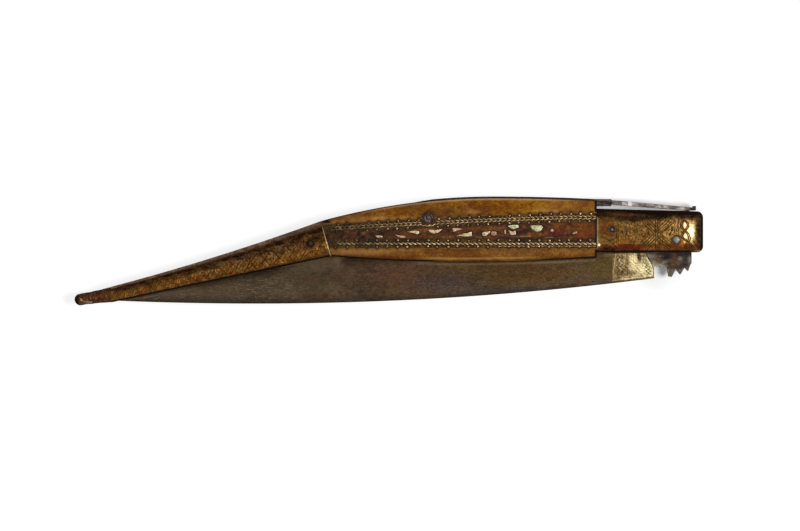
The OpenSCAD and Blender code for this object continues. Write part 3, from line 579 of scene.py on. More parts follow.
def inlay_bed():
    """Dark bed of the pins and wires: brown, black-green in patches, with horn along its outer edge."""
    f = Finish("inlay_bed")
    mottle = f.noise(0.55, detail=4.0, rough=0.6, seed=4.0)
    cloud = f.noise(4.0, (2, 1, 1), 4.0, 0.6, 13.0)
    brown = f.ramp((mottle * 0.6 + cloud * 0.4).window(0.36, 0.64), [
        (0.0, (32, 22, 10)), (0.5, (72, 49, 20)), (1.0, (108, 77, 34)),
    ])
    green = f.noise(1.5, (1.4, 1, 1), 4.0, 0.6, 22.0).window(0.53, 0.62)
    colour = f.mix(green * 0.75, brown, (40, 42, 30))
    colour = f.mix((f.trait("grime") * (0.6 + mottle * 0.7)).clamped(), colour, (24, 19, 16))
    colour = f.mix(f.trait("worn"), colour, (128, 84, 36))
    rough = (0.55 + mottle * 0.3).clamped()
    return f.done(Base_Color=colour, Roughness=rough, Normal=f.bump(mottle, 0.08), Specular_IOR_Level=0.06)


def mother_of_pearl():
    """Pearl chips: rose, cream, yellow and green by turns, with a silky streak."""
    f = Finish("mother_of_pearl")
    streak = f.noise(0.5, (3.5, 1, 1), 4.0, 0.6, 6.0)
    cloud = f.noise(1.5, detail=3.0, seed=9.0)
    tint = (f.trait("tint") + (cloud - 0.5) * 0.45).clamped()
    colour = f.ramp(tint, [
        (0.0, (182, 120, 94)), (0.22, (208, 162, 122)), (0.45, (216, 184, 130)),
        (0.62, (216, 204, 148)), (0.8, (190, 198, 150)), (1.0, (158, 70, 54)),
    ])
    colour = f.mix(streak.window(0.42, 0.7) * 0.35, colour, (242, 222, 184))
    colour = f.mix(streak.window(0.55, 0.38) * 0.45, colour, (138, 98, 58))
    flaw = f.noise(0.9, (1.3, 1, 1), 4.0, 0.6, 21.0).window(0.5, 0.62)
    colour = f.mix(flaw * 0.7, colour, (108, 84, 44))
    colour = f.mix(f.trait("grime"), colour, (84, 58, 36))
    rough = (0.3 + streak * 0.2).clamped()
    return f.done(Base_Color=colour, Roughness=rough, Normal=f.bump(streak, 0.05), Coat_Weight=0.3,
                  Coat_Roughness=0.2)


# Colours that the traits of these names turn brass and the blade to. On brass, bright paints highlights and
# glints, and grey paints a lighter band along the tail's top edge.

BRASS_TONES = {
    "warm": (140, 88, 24), "red": (104, 44, 18), "grey": (146, 122, 104), "bright": (238, 216, 164),
    "gold": (88, 70, 36),
}
BLADE_TONES = {
    "red": (84, 54, 34), "gold": (72, 48, 12), "olive": (80, 62, 24), "grey": (50, 45, 46),
    "bright": (156, 146, 128),
}

# Parts of the spring: from where to where along the knife, how soft the change is, and the colour there. The
# first is dark with rust and painted shade at the sunk root, the last a painted glint on the paddle.

SPRING_ZONES = [
    (-200.0, -24.6, 0.3, (32, 22, 27)), (5.6, 12.0, 0.5, (44, 36, 37)), (-17.9, -17.2, 0.7, (206, 202, 196)),
]

FINISHES = {
    "amber_horn": amber_horn(),
    "stained_horn": stained_horn("stained_horn"),
    "inlay_bed": inlay_bed(),
    "mother_of_pearl": mother_of_pearl(),
    "bolster_brass": brass("bolster_brass", (138, 104, 53), (68, 43, 17), (22, 10, 5), BRASS_TONES,
                           rust=0.3, fleck=0.2),
    "tail_brass": brass("tail_brass", (140, 99, 48), (70, 45, 20), (22, 10, 3), BRASS_TONES, seed=5.0),
    "tip_brass": brass("tip_brass", (120, 80, 46), (72, 40, 24), (20, 14, 12), BRASS_TONES, seed=5.0,
                       rust=0.9),
    "aged_brass": brass("aged_brass", (104, 86, 72), (62, 48, 40), (22, 16, 14), BRASS_TONES, seed=11.0),
    "overlay_brass": brass("overlay_brass", (202, 188, 142), (104, 86, 48), (44, 34, 22), BRASS_TONES,
                           seed=14.0, rust=0, fleck=0.1),
    "inlay_brass": brass("inlay_brass", (182, 152, 110), (88, 66, 40), (22, 16, 11), BRASS_TONES,
                         fine=0.5, seed=17.0, fleck=0.1),
    "blade_steel": steel("blade_steel", (90, 74, 52), (56, 42, 28), (26, 18, 13), tones=BLADE_TONES,
                         forged=True),
    "spring_steel": steel("spring_steel", (166, 158, 150), (90, 76, 67), (40, 31, 32), seed=3.0, rust=0.3,
                          zones=SPRING_ZONES),
    "iron": steel("iron", (56, 44, 36), (34, 25, 21), (18, 13, 12), shine=0.4, rust=0.7, seed=6.0),
    "dark_steel": steel("dark_steel", (90, 70, 64), (42, 30, 28), (16, 11, 12), along=1.0, seed=9.0,
                        tones={"bright": (158, 148, 148)}),
    "rivet_steel": steel("rivet_steel", (112, 108, 98), (76, 69, 58), (36, 29, 22), along=1.0,
                         rust=0.3, seed=12.0),
    "dark_horn": stained_horn("dark_horn"),
}


# Mesh tools

ARC = 8


def make_piece(name, shape, slot, node, traits, turn=1, body="handle", sharp=38.0):
    """A shown piece from its points, in millimetres about the pivot, and its faces. It rides on its body and
    stands for a CAD node. A turn of -1 makes the front's mirror image for the back."""
    points, faces = shape
    mesh = bpy.data.meshes.new(name)
    mesh.from_pydata((PIVOT + np.asarray(points, float) * (1, 1, turn) * MM).tolist(), [], faces)
    shell = bmesh.new()
    shell.from_mesh(mesh)
    bmesh.ops.recalc_face_normals(shell, faces=shell.faces)
    shell.to_mesh(mesh)
    shell.free()
    for trait, values in traits.items():
        layer = mesh.attributes.new(trait, "FLOAT", "POINT")
        layer.data.foreach_set("value", np.asarray(values, np.float32).ravel())
    mesh.polygons.foreach_set("use_smooth", [True] * len(mesh.polygons))
    mesh.set_sharp_from_angle(angle=math.radians(sharp))
    mesh.materials.append(FINISHES[slot])
    made = bpy.data.objects.new(name, mesh)
    bpy.context.scene.collection.objects.link(made)
    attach(made, body)
    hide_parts(node)


def tube(rings):
    """Points and faces of a closed body through rings of equal count."""
    rings = np.asarray(rings, float)
    count, size = rings.shape[:2]
    index = np.arange(count * size).reshape(count, size)
    ahead = np.roll(index, -1, axis=1)
    sides = np.stack([index[:-1], ahead[:-1], ahead[1:], index[1:]], axis=-1).reshape(-1, 4)
    return rings.reshape(-1, 3), sides.tolist() + [index[0].tolist(), index[-1].tolist()]


def gathered(parts):
    """Several bodies as one list of points and one of faces."""
    points = []
    faces = []
    offset = 0
    for some_points, some_faces in parts:
        points.append(some_points)
        faces.extend([[i + offset for i in face] for face in some_faces])
        offset += len(some_points)
    return np.vstack(points), faces


def turned(place, profile, segments, wobble=None):
    """Body of revolution about Z at a place. The profile lists radius and height; wobble scales the
    radius."""
    angle = np.linspace(0, 2 * math.pi, segments, endpoint=False)
    rings = []
    for radius, z in profile:
        reach = radius * (1 if wobble is None else wobble(angle, radius))
        rings.append(np.column_stack([place[0] + reach * np.cos(angle), place[1] + reach * np.sin(angle),
                                      np.full(segments, z)]))
    return tube(rings)


def sweep(xs, lines, weight=0.0):
    """Rings at stations along the knife, with one point on each lengthwise line. A line gives Y and Z at
    any X. weight says how far each ring lies over to follow the leaning joint of horn and tail."""
    columns = []
    for y_of, z_of, *_ in lines:
        x = np.array(xs, float)
        for _ in range(4):
            x = xs - weight * lean(y_of(x))
        columns.append(np.stack([x, y_of(x), z_of(x)], axis=-1))
    return np.stack(columns, axis=1)


def shoulder(edge, inward, width, face, depth):
    """Lines of a rounded shoulder from an edge inwards, with how near the edge each one is."""
    lines = []
    for turn in np.linspace(0, math.pi / 2, ARC + 1):
        reach = inward * (1 - math.cos(turn))
        drop = -(1 - math.sin(turn))
        y_of = (lambda x, r=reach: edge(x) + r * width(x))
        z_of = (lambda x, d=drop: face(x) + d * depth(x))
        lines.append((y_of, z_of, 1 - math.sin(turn)))
    return lines


def field(low, high, face, cells):
    """Lines across a face, between two of its lines."""
    return [(between(low, high, i / cells), face, 0.0) for i in range(1, cells)]


def cheek_lines(low, high, face, low_width, high_width, depth, middle_lines):
    """Lines of a cheek's whole outside, with its flat inside on the liner."""
    inner = fixed(Z_LINER)
    rising = shoulder(low, 1, low_width, face, depth)
    falling = shoulder(high, -1, high_width, face, depth)[::-1]
    return [(low, inner, 1.0)] + rising + middle_lines + falling + [(high, inner, 1.0)]


# Traits: how dirty, worn, bright or tinted each point of a piece is, mostly from 0 to 1. Some of the dark,
# pale and bright traits paint shade, sheen and highlights.


def unit(value):
    """The value, kept from 0 to 1."""
    return np.clip(value, 0, 1)


def rise(value, start, length):
    """0 up to a start, 1 past a length beyond it, and straight in between."""
    return unit((value - start) / length)


def fall(value, end, length):
    """1 up to a length before an end, 0 past the end, and straight in between."""
    return unit((end - value) / length)


def eased(share):
    """A share of the way that starts and ends gently."""
    return share * share * (3 - 2 * share)


def most(*values):
    """The greatest of some values at each point."""
    return np.maximum.reduce(values)


def crest(value, middle, width):
    """1 at a middle value, fading smoothly to 0 on both sides."""
    return np.exp(-(((value - middle) / width) ** 2))


def band(value, low, high, soft):
    """1 between two limits, fading to 0 over a soft border outside them."""
    return unit((value - low) / soft + 1) * unit((high - value) / soft + 1)


def near_point(x, y, place, radius):
    """1 at a place, fading to 0 at about its radius."""
    return np.exp(-(((x - place[0]) ** 2 + (y - place[1]) ** 2) / radius**2) ** 2)


def patches(x, y, places):
    """Soft patches, each given by its middle, its half length, its half height and how strong it is."""
    total = np.zeros_like(x)
    for at_x, at_y, half_x, half_y, strength in places:
        out = ((x - at_x) / half_x) ** 2 + ((y - at_y) / half_y) ** 2
        total = np.maximum(total, strength * np.exp(-(out**1.5)))
    return total


def all_patches(x, y, table):
    """The patches of each kind that a piece has."""
    return {kind: patches(x, y, places) for kind, places in table.items()}


def blotches(x, y, size, seed, waves=9):
    """Smooth random field, about 0 to 1, whose patches are about size millimetres."""
    draw = np.random.default_rng(seed)
    total = np.zeros_like(x)
    for _ in range(waves):
        turn, phase = draw.uniform(0, 2 * math.pi, 2)
        pace = draw.uniform(0.5, 1.7) * 2 * math.pi / size
        total += np.sin((x * math.cos(turn) + y * math.sin(turn)) * pace + phase)
    return unit(0.5 + 0.35 * total / math.sqrt(waves) * 1.4)


def cut(x, y, strokes, width):
    """How deep each point lies in grooves along the strokes: 1 on the line and 0 past its width."""
    deep = np.zeros_like(x)
    for stroke in strokes:
        path = np.asarray(stroke, float)
        low = path.min(0) - 2 * width
        high = path.max(0) + 2 * width
        near = (x > low[0]) & (x < high[0]) & (y > low[1]) & (y < high[1])
        if not near.any():
            continue
        px, py = x[near], y[near]
        gap = np.full(px.shape, 9.0)
        for start, end in zip(path[:-1], path[1:]):
            step = end - start
            along = unit(((px - start[0]) * step[0] + (py - start[1]) * step[1]) / max(step @ step, 1e-9))
            gap = np.minimum(gap, np.hypot(px - start[0] - along * step[0], py - start[1] - along * step[1]))
        deep[near] = np.maximum(deep[near], crest(gap, 0, width))
    return deep


def twin(start, end, gap):
    """A pair of parallel strokes."""
    start, end = np.array(start, float), np.array(end, float)
    across = np.array([start[1] - end[1], end[0] - start[0]])
    across = across / np.linalg.norm(across) * gap / 2
    return [[start + across, end + across], [start - across, end - across]]


# Bolsters. The braid stands on BRAID_LINE, given by X and Y, and its double lines cross at every loop.

BRAID_LINE = [(-3.5, 4.7), (-0.8, 4.36), (1.26, 3.3), (3.44, 3.0), (5.5, 2.9), (7.7, 2.7)]
BRAID_SHIFT = 0.25
BRAID_CROSSING = 3.44
BRAID_LOOP = 4.22
BRAID_WIDTH = 1.4
BRAID_GAP = 0.31
BRAID_CUT = 0.155
GROOVE_CUT = 0.15
DOT_CUT = 0.14
GLINT_CUT = 0.16
GROOVE_DEPTH = 0.12
DOT_DEPTH = 0.08
HAMMER_DEPTH = 0.06

# Engraved lines: the crossed panel's spokes, each cut as two pairs, then other pairs with their gaps,
# single lines, and painted glints along the scratches by the end

PANEL_SPOKES = [
    ((-7.5, 2.9), (-11.9, 7.2)), ((-7.0, 2.9), (-1.4, 8.0)), ((-7.7, 1.4), (-12.2, -3.0)),
    ((-6.9, 1.3), (-1.9, -2.8)),
]
PANEL_GAPS = (0.8, 2.5)
BOLSTER_PAIRS = [
    ((-7.5, 7.8), (-7.5, -3.1), 0.8), ((-0.1, 3.2), (-0.1, 8.6), 1.6), ((-22.3, 8.2), (-22.6, -1.6), 0.6),
]
BOLSTER_LINES = [
    [(7.2, 2.6), (9.2, -2.0)], [(6.6, -0.4), (8.6, -3.2)], [(7.8, 4.2), (9.4, 0.8)],
    [(-6.2, 2.6), (-0.6, 7.0)], [(-8.4, 0.0), (-11.0, -2.6)], [(-2.6, 1.6), (-2.0, 3.4), (-1.7, 5.2)],
    [(-13.2, 7.4), (-11.0, 4.4), (-10.2, 1.2)], [(-26.3, -0.5), (-24.6, -1.3), (-23.2, -2.6), (-22.0, -3.7)],
    [(-22.1, -0.4), (-23.8, -1.2), (-25.3, -2.6), (-26.4, -3.8)],
    [(-27.6, 0.9), (-26.0, -0.2), (-24.2, 0.1), (-22.8, 1.2)],
]
END_GLINTS = [[(6.9, 0.4), (8.8, -2.0)], [(6.2, -1.5), (7.9, -3.5)], [(7.7, 1.9), (9.2, 0.0)]]

# Punched dots and nicks: how many, two corners of their field, and how far they are drawn out at least and
# at most

BOLSTER_TICKS = [
    (170, (-21.5, -1.4), (-11.0, 7.0), (-0.35, -0.35), (0.35, 0.35)),
    (90, (-6.8, -2.4), (1.4, 7.4), (-0.3, 0.3), (0.3, 0.9)),
    (50, (-29.0, -3.4), (-12.0, 8.6), (-0.7, -0.7), (0.7, 0.7)),
    (36, (-10.8, -3.4), (-3.2, -1.2), (-0.5, -0.5), (0.5, 0.5)),
]

# Heights along the bolster above which its top is painted black and dark as shade where it rolls away, and
# how softly the painted shade begins, by X

BOLSTER_BLACK = [(-30.3, 10.6), (-21.4, 10.2), (-13.7, 9.6), (-6.1, 8.5), (-0.3, 9.2), (10.4, 9.2)]
BOLSTER_DARK = [(-30.3, 9.0), (-21.4, 7.8), (-13.7, 7.4), (-6.1, 8.2), (-0.3, 9.0), (5.8, 8.4), (10.4, 8.4)]
BOLSTER_SOFT = [(-30.3, 4.4), (-21.4, 2.4), (-13.7, 1.3), (-6.1, 1.6), (10.4, 1.6)]

# How steeply the face falls at places along the bolster

ROLL_X = [X_BOLSTER, 1.6, 3.8, 7.2, 8.2, X_FRONT]
ROLL_SLOPE = [0.0, 0.0, 0.15, 0.33, 0.62, 1.35]

# Soft patches of each kind, as X and Y of the middle, half length, half height and strength, which is how
# all such tables give them. Here the shade rows paint shade and the glow rows paint highlights.

BOLSTER_PATCHES = {
    "shade": [(-26, -3.8, 5, 1.4, 0.8), (-16, -0.4, 6, 1.4, 0.3), (8.6, 3.0, 1.2, 8, 0.85),
              (7.6, -2.0, 2.0, 2.2, 0.4), (3.4, -3.8, 8, 1.0, 0.5), (-26, 3.0, 5, 6, 0.45),
              (-14, 3.5, 6, 4, 0.25), (5.8, -3.0, 3, 1.4, 0.7)],
    "glow": [(5.8, 3.0, 1.5, 3.0, 0.8), (3.5, 1.2, 0.6, 1.1, 0.7), (3.3, 5.5, 0.6, 1.0, 0.7),
             (0.9, 5.6, 0.3, 3.0, 0.25), (-0.8, 5.4, 0.3, 3.0, 0.25), (8.6, -4.3, 2.0, 0.25, 0.4)],
    "rubbed": [(5.0, 2.4, 3.0, 4.0, 0.8), (-3, 2.5, 7, 5, 0.35)],
    "warm": [(-26.5, 4.5, 4.5, 4.5, 0.6), (-21, -0.5, 3.5, 2.0, 0.75), (-14, 3, 5, 4, 0.2),
             (0, -2.0, 8, 2.2, 0.5), (8.6, -1, 1.6, 6, 0.45), (-22, 8.3, 6, 0.8, 0.5)],
    "red": [(-15.6, -2.6, 4.2, 1.0, 1.0), (-24, -3.0, 5, 0.9, 0.6), (-27.4, 5.0, 2.4, 4.0, 0.5),
            (-19.5, 9.5, 6.0, 0.7, 0.8), (8.4, -2.0, 1.2, 2.6, 0.5)],
    "clear": [(-19.5, 9.5, 6.0, 0.5, 0.5), (-25.5, 8.2, 3.0, 0.7, 0.3), (8.6, -4.3, 2.0, 0.3, 0.8)],
}


def braid_strokes():
    """The two double lines of the braid."""
    y = np.arange(-3.4, 7.7, 0.2)
    middle_x = np.interp(y, *zip(*BRAID_LINE)) + BRAID_SHIFT
    wave = BRAID_WIDTH * np.sin(math.pi * (y - BRAID_CROSSING) / BRAID_LOOP)
    return [np.column_stack([middle_x + side * wave + gap, y])
            for side in (1, -1) for gap in (-BRAID_GAP, BRAID_GAP)]


def bolster_strokes():
    """Lines engraved on the bolster: a crossed panel, borders, a fan of arcs and the end's slanting nicks."""
    pairs = [(*spoke, gap) for spoke in PANEL_SPOKES for gap in PANEL_GAPS] + BOLSTER_PAIRS
    return BOLSTER_LINES + [stroke for pair in pairs for stroke in twin(*pair)]


def bolster_ticks(seed):
    """Small punched dots and short nicks between the lines."""
    draw = np.random.default_rng(seed)
    ticks = []
    for count, low, high, least, longest in BOLSTER_TICKS:
        for _ in range(count):
            place = draw.uniform(low, high)
            ticks.append([place, place + draw.uniform(least, longest)])
    return ticks


def bolster_roll(x):
    """How far the bolster's face has fallen."""
    at = np.linspace(X_BOLSTER, X_FRONT, 400)
    fallen = np.concatenate([[0], np.cumsum(np.interp(at[1:], ROLL_X, ROLL_SLOPE) * (at[1] - at[0]))])
    return np.interp(x, at, fallen)


def bolster_face(x):
    """Height of the bolster's face, which rolls down to the front and has a small step at the horn."""
    return Z_BOLSTER - bolster_roll(x) - 0.3 * fall(x, X_BOLSTER + 0.5, 0.5) ** 2


def bolster_traits(rings, grooves, braid, dots, seed):
    """Dirt, wear and tints of the bolster, with painted shade at its edges and painted highlights."""
    x, y = rings[..., 0], rings[..., 1]
    marks = all_patches(x, y, BOLSTER_PATCHES)
    uneven = blotches(x, y, 6.0, seed + 5)
    wall = rise(Z_BOLSTER - 1.2 - rings[..., 2] - bolster_roll(x), 0, 0.4)
    # Painted shade: the top grows dark and then black, and the lower edge dark, where the face rolls away
    soft = np.interp(x, *zip(*BOLSTER_SOFT))
    top = 0.86 * rise(y + 0.4 * (uneven - 0.5), np.interp(x, *zip(*BOLSTER_DARK)) - soft, soft) ** 1.3
    top = np.maximum(top, np.clip((y - np.interp(x, *zip(*BOLSTER_BLACK))) / 0.5, 0, 0.98)) * (1 - 0.5 * wall)
    foot = fall(y, bolster_foot(x) + 1.1, 0.6) * (1 - 0.5 * wall)
    under = band(y, bolster_foot(x) + 0.9, bolster_foot(x) + 2.9, 0.6)
    dull = unit(blotches(x, y, 3.0, seed + 2) * 1.5 - 0.65)
    ring_dirt = near_point(x, y, BOLSTER_RIVET, 1.9) * 0.8 + near_point(x, y, (0, 0), 2.0) * 0.6
    # Painted shade also darkens the rolled front end, and the shade patches
    grime = most(grooves**1.5 * 0.86, braid * 0.95, dots * 0.7, rise(x, X_FRONT - 1.9, 1.0), top, foot,
                 dull * 0.14, ring_dirt, marks["shade"], under * (0.2 + 0.3 * uneven))
    # Painted highlights: a shine along the rear edge, the glow patches and the glints by the end
    rear = band(x, X_BOLSTER, X_BOLSTER + 0.4, 0.15) * band(y, -2.6, 8.0, 1.2)
    edge_shine = unit(rear * (0.5 + 0.5 * uneven) + near_point(x, y, (-29.4, -2.0), 0.5))
    glow = marks["glow"] * (1 - grooves) * (0.6 + 0.6 * blotches(x, y, 2.0, seed + 6))
    return {
        "grime": unit(grime * (1 - edge_shine) * (1 - marks["clear"])),
        "worn": unit(0.6 * blotches(x, y, 2.4, seed + 3) - 0.25 + marks["rubbed"]),
        "bright": unit(edge_shine + glow + 0.22 * cut(x, y, END_GLINTS, GLINT_CUT)),
        "warm": marks["warm"],
        "red": unit(marks["red"] + under * (0.35 + 0.4 * uneven)),
    }


def make_bolster(side, turn, seed):
    """Engraved brass bolster with a rolled front end."""
    low_width, high_width = 1.2, 2.6
    xs = np.concatenate([
        np.arange(X_BOLSTER, X_FRONT - BOLSTER_CORNER_R, 0.16),
        X_FRONT - BOLSTER_CORNER_R * (1 - np.sin(np.linspace(0, math.pi / 2, 18))),
    ])
    inner = field(raised(bolster_foot, low_width), raised(bolster_top, -high_width), bolster_face, 70)
    depth = (lambda x: np.minimum(1.7, bolster_face(x) - Z_LINER - 0.1))
    lines = cheek_lines(bolster_foot, bolster_top, bolster_face, fixed(low_width), fixed(high_width), depth,
                        inner)
    rings = sweep(xs, lines)
    x, y = rings[..., 0], rings[..., 1]
    braid = cut(x, y, braid_strokes(), BRAID_CUT)
    grooves = np.maximum(cut(x, y, bolster_strokes(), GROOVE_CUT), braid)
    dots = cut(x, y, bolster_ticks(seed), DOT_CUT)
    hammer = blotches(x, y, 5.0, seed + 1)
    on_face = np.array([unit(1 - 1.5 * edge) for _, _, edge in lines])
    rings[..., 2] -= (GROOVE_DEPTH * grooves + DOT_DEPTH * dots + HAMMER_DEPTH * hammer) * on_face
    make_piece("engraved_bolster_" + side, tube(rings), "bolster_brass", "bolster_" + side,
               bolster_traits(rings, grooves, braid, dots, seed), turn)


# Tail. The engraved lines that stand alone, and painted glints along scratches, by X and Y.

TAIL_MARKS = [
    [(-163.5, -7.0), (-159.7, -11.3)], [(-159.7, -7.4), (-163.3, -11.3)], [(-159.9, -7.4), (-156.4, -11.0)],
    [(-156.6, -7.4), (-160.0, -11.3)], [(-141.7, -6.2), (-139.0, -4.3), (-136.5, -4.0), (-134.6, -5.6)],
    [(-153.5, -5.0), (-150.0, -8.0)], [(-150.0, -5.6), (-153.0, -8.4)],
]
TAIL_GLINTS = [
    [(-152.4, -1.4), (-150.4, -3.9), (-148.6, -1.2)], [(-147.5, -0.4), (-144.5, 1.0)],
    [(-152.0, -2.5), (-150.6, -4.6)], [(-166.0, -6.0), (-164.6, -6.9)], [(-153.3, -5.6), (-152.5, -9.0)],
    [(-168.0, -8.4), (-164.0, -7.4)], [(-178.0, -10.4), (-174.0, -9.8)],
]
TAIL_SHADE = [
    (-136.5, 2.5, 5.0, 4.0, 0.55), (-146, 2.5, 9, 2.2, 0.5), (-139, -0.5, 5, 3.4, 0.45),
    (-172, -7.5, 8, 1.6, 0.35),
]
HATCH_PITCH = 0.78
NICK_PITCH = 0.42
HATCH_CUT = 0.14
LOZENGE_PITCH = 5.4
LOZENGE_CUT = 0.2
TAIL_GLINT_CUT = 0.12
TAIL_GROOVE_DEPTH = 0.08
TAIL_HAMMER_DEPTH = 0.12
TAIL_ROLL = 0.5
TAIL_ROLL_DEPTH = 0.8
KNEE_LENGTH = 16


def tail_height(x):
    """Height of the tail from its lower edge to its back."""
    return tail_top(x) - tail_foot(x)


def on_tail(x, share):
    """Point of the tail's face at a share of its height."""
    x = float(x)
    return (x, float(tail_foot(x) + share * tail_height(x)))


def tail_strokes(seed):
    """Lines engraved on the tail: slanting hatch that turns to short nicks near the knee."""
    draw = np.random.default_rng(seed)
    strokes = []
    for x in np.arange(X_TAIL_END + 1, X_KNEE - 30, HATCH_PITCH):
        low = draw.uniform(0.12, 0.4)
        high = low + draw.uniform(0.18, 0.36)
        strokes.append([on_tail(x, low), on_tail(x + draw.uniform(0.3, 1.3), high)])
    for x in np.arange(X_KNEE - 34, X_KNEE - 3, NICK_PITCH):
        low = draw.uniform(0.08, 0.6)
        lie = draw.uniform(-0.9, 0.9)
        strokes.append([on_tail(x, low), on_tail(x + lie, low + draw.uniform(0.05, 0.16))])
    return strokes


def tail_lozenges():
    """Crossed lines that make a row of lozenges along the wide part of the tail."""
    strokes = list(TAIL_MARKS)
    for x in np.arange(X_KNEE - 44, X_KNEE - 5, LOZENGE_PITCH):
        strokes.append([on_tail(x, 0.12), on_tail(x + 4.6, 0.62)])
        strokes.append([on_tail(x + 4.4, 0.12), on_tail(x - 0.2, 0.62)])
    return strokes


def edge_nicks(seed):
    """Short cuts along the upper edge of the tail."""
    at = np.cumsum(np.random.default_rng(seed).uniform(1.6, 4.6, 40)) + X_TAIL_END
    return [[on_tail(x, 0.92), on_tail(x + 0.3, 1.02)] for x in at if x < X_KNEE - 2]


def tail_lines(inset):
    """Lines of the tail sheet's outside, or of its inside where an inset is given."""
    low, high, face = raised(tail_foot, inset), raised(tail_top, -inset), raised(tail_face, -inset)
    depth = (lambda x: 0.6 * (tail_face(x) - Z_LINER - inset))
    low_width = (lambda x: 0.14 * tail_height(x))
    high_width = (lambda x: 0.26 * tail_height(x))
    inner = field(lambda x: low(x) + low_width(x), lambda x: high(x) - high_width(x), face, 44)
    return cheek_lines(low, high, face, low_width, high_width, depth, inner)


def tail_traits(x, y, xs, outer, grooves, seed):
    """Dirt, wear and tints of the tail sheet, with painted shade, a painted sheen and painted highlights."""
    share = (y - tail_foot(x)) / tail_height(x)
    uneven = blotches(x * 0.35, y, 3.0, seed + 2)
    # Painted light: a lighter grey band along the top edge
    grey = np.clip((share - 0.85) / 0.08, 0.4, 1) * (share > 0.85) * (0.7 + 0.3 * uneven)
    grey = grey * np.clip(outer * 2.2 - 0.3, 0.5, 1) * (0.6 + 0.5 * blotches(x, y, 1.6, seed + 12))
    # Painted shade: a dark crease where the face turns into its upper shoulder, and a dark line along the
    # lower edge
    crease = band(share + 0.04 * (uneven - 0.5), 0.72, 0.83, 0.06) * (0.66 + 0.3 * uneven) * (share < 0.86)
    foot = unit(1 - (y - tail_foot(x) - 0.45) / 0.35)
    upper = rise(share + 0.1 * uneven, 0.44, 0.2) * (0.4 + 0.4 * blotches(x * 0.3, y, 3.0, seed + 7))
    dull = unit(blotches(x, y, 3.4, seed + 3) * 1.6 - 0.6)
    bite = unit(blotches(x, y, 1.3, seed + 8) * 2.2 - 1.2)
    nicks = cut(x, y, edge_nicks(seed + 9), 0.3) * (outer > 0.3)
    grime = most(grooves**1.5 * 0.9, nicks * 0.6, crease, foot, dull * 0.5, bite * 0.6,
                 upper * fall(share, 0.87, 0.02), near_point(x, y, TAIL_PIN, 2.0) * 0.95,
                 patches(x, y, TAIL_SHADE))
    # Painted sheen: a lighter, warmer band along the face
    glow_at = np.interp(x, [X_TAIL_END, X_KNEE - 45, X_KNEE - 22], [0.3, 0.4, 0.25])
    glow_half = np.interp(x, [X_KNEE - 45, X_KNEE - 22], [0.2, 0.13])
    glow = crest(share, glow_at, glow_half) * np.interp(x, [X_TAIL_END, X_KNEE - 30], [0.6, 1.0])
    middle_glow = 0.35 * band(x, X_KNEE - 36, X_KNEE - 22, 8)
    # Painted highlight along the rolled lip at the knee
    lip = rise(xs, X_KNEE - 0.36, 0.36)[:, None] * np.clip((0.95 - share) / 0.4, 0.1, 1)
    lip = unit(lip * 2)
    flecks = unit(blotches(x, y, 1.0, seed + 13) * 3 - 1.8) * band(share, 0.45, 0.66, 0.1)
    flecks = flecks * band(x, X_KNEE - 50, X_KNEE - 16, 12) * (1 - grooves) * 0.14
    return {
        "grime": unit(grime * (1 - lip)),
        "worn": unit(glow * (0.1 + middle_glow + 0.8 * blotches(x, y, 3.0, seed + 4))),
        "warm": unit(glow * 0.9 * blotches(x, y, 6.0, seed + 5) + 0.1),
        "red": unit(foot * 0.5 + blotches(x, y, 5.0, seed + 6) * 0.9 - 0.45) * (1 - glow * 0.6),
        "grey": grey,
        "bright": most(0.24 * cut(x, y, TAIL_GLINTS, TAIL_GLINT_CUT), flecks, lip),
    }


def make_tail_sheet(side, turn, seed):
    """Engraved brass sheet folded over the tail."""
    xs = np.concatenate([
        np.arange(X_TAIL_END, X_KNEE - TAIL_ROLL, 0.22),
        X_KNEE - TAIL_ROLL * (1 - np.sin(np.linspace(0, math.pi / 2, 6))),
    ])
    outside, inside = tail_lines(0.0), tail_lines(SHEET_T)
    rings = sweep(xs, outside + inside[::-1], eased(rise(xs, X_KNEE - KNEE_LENGTH, KNEE_LENGTH)))
    x, y = rings[..., 0], rings[..., 1]
    outer = np.array([1 - 0.8 * edge for _, _, edge in outside] + [0.0] * len(inside))
    grooves = np.maximum(cut(x, y, tail_strokes(seed), HATCH_CUT), cut(x, y, tail_lozenges(), LOZENGE_CUT))
    hammer = blotches(x, y, 4.0, seed + 1)
    rolled = corner_fall(xs, X_KNEE, TAIL_ROLL)[:, None]
    carved = TAIL_GROOVE_DEPTH * grooves + TAIL_HAMMER_DEPTH * hammer
    rings[..., 2] -= (carved + TAIL_ROLL_DEPTH * rolled) * outer
    make_piece("engraved_tail_sheet_" + side, tube(rings), "tail_brass", "tail_sheet_" + side,
               tail_traits(x, y, xs, outer, grooves, seed), turn)


# Tail tip. Its rings go from the end of the tail to the rounded end.

TIP_HALF_Z = TIP_R + 0.4
# A painted highlight along the lower side of the rounded tip
TIP_GLINT = [[(X_TIP + 2.6, -22.9), (X_TIP + 3.6, -23.5), (X_TIP + 6.4, -23.9)]]


def squared(value, power):
    """Sine or cosine raised to a power below 1, which squares up an oval."""
    return np.sign(value) * np.abs(value) ** power


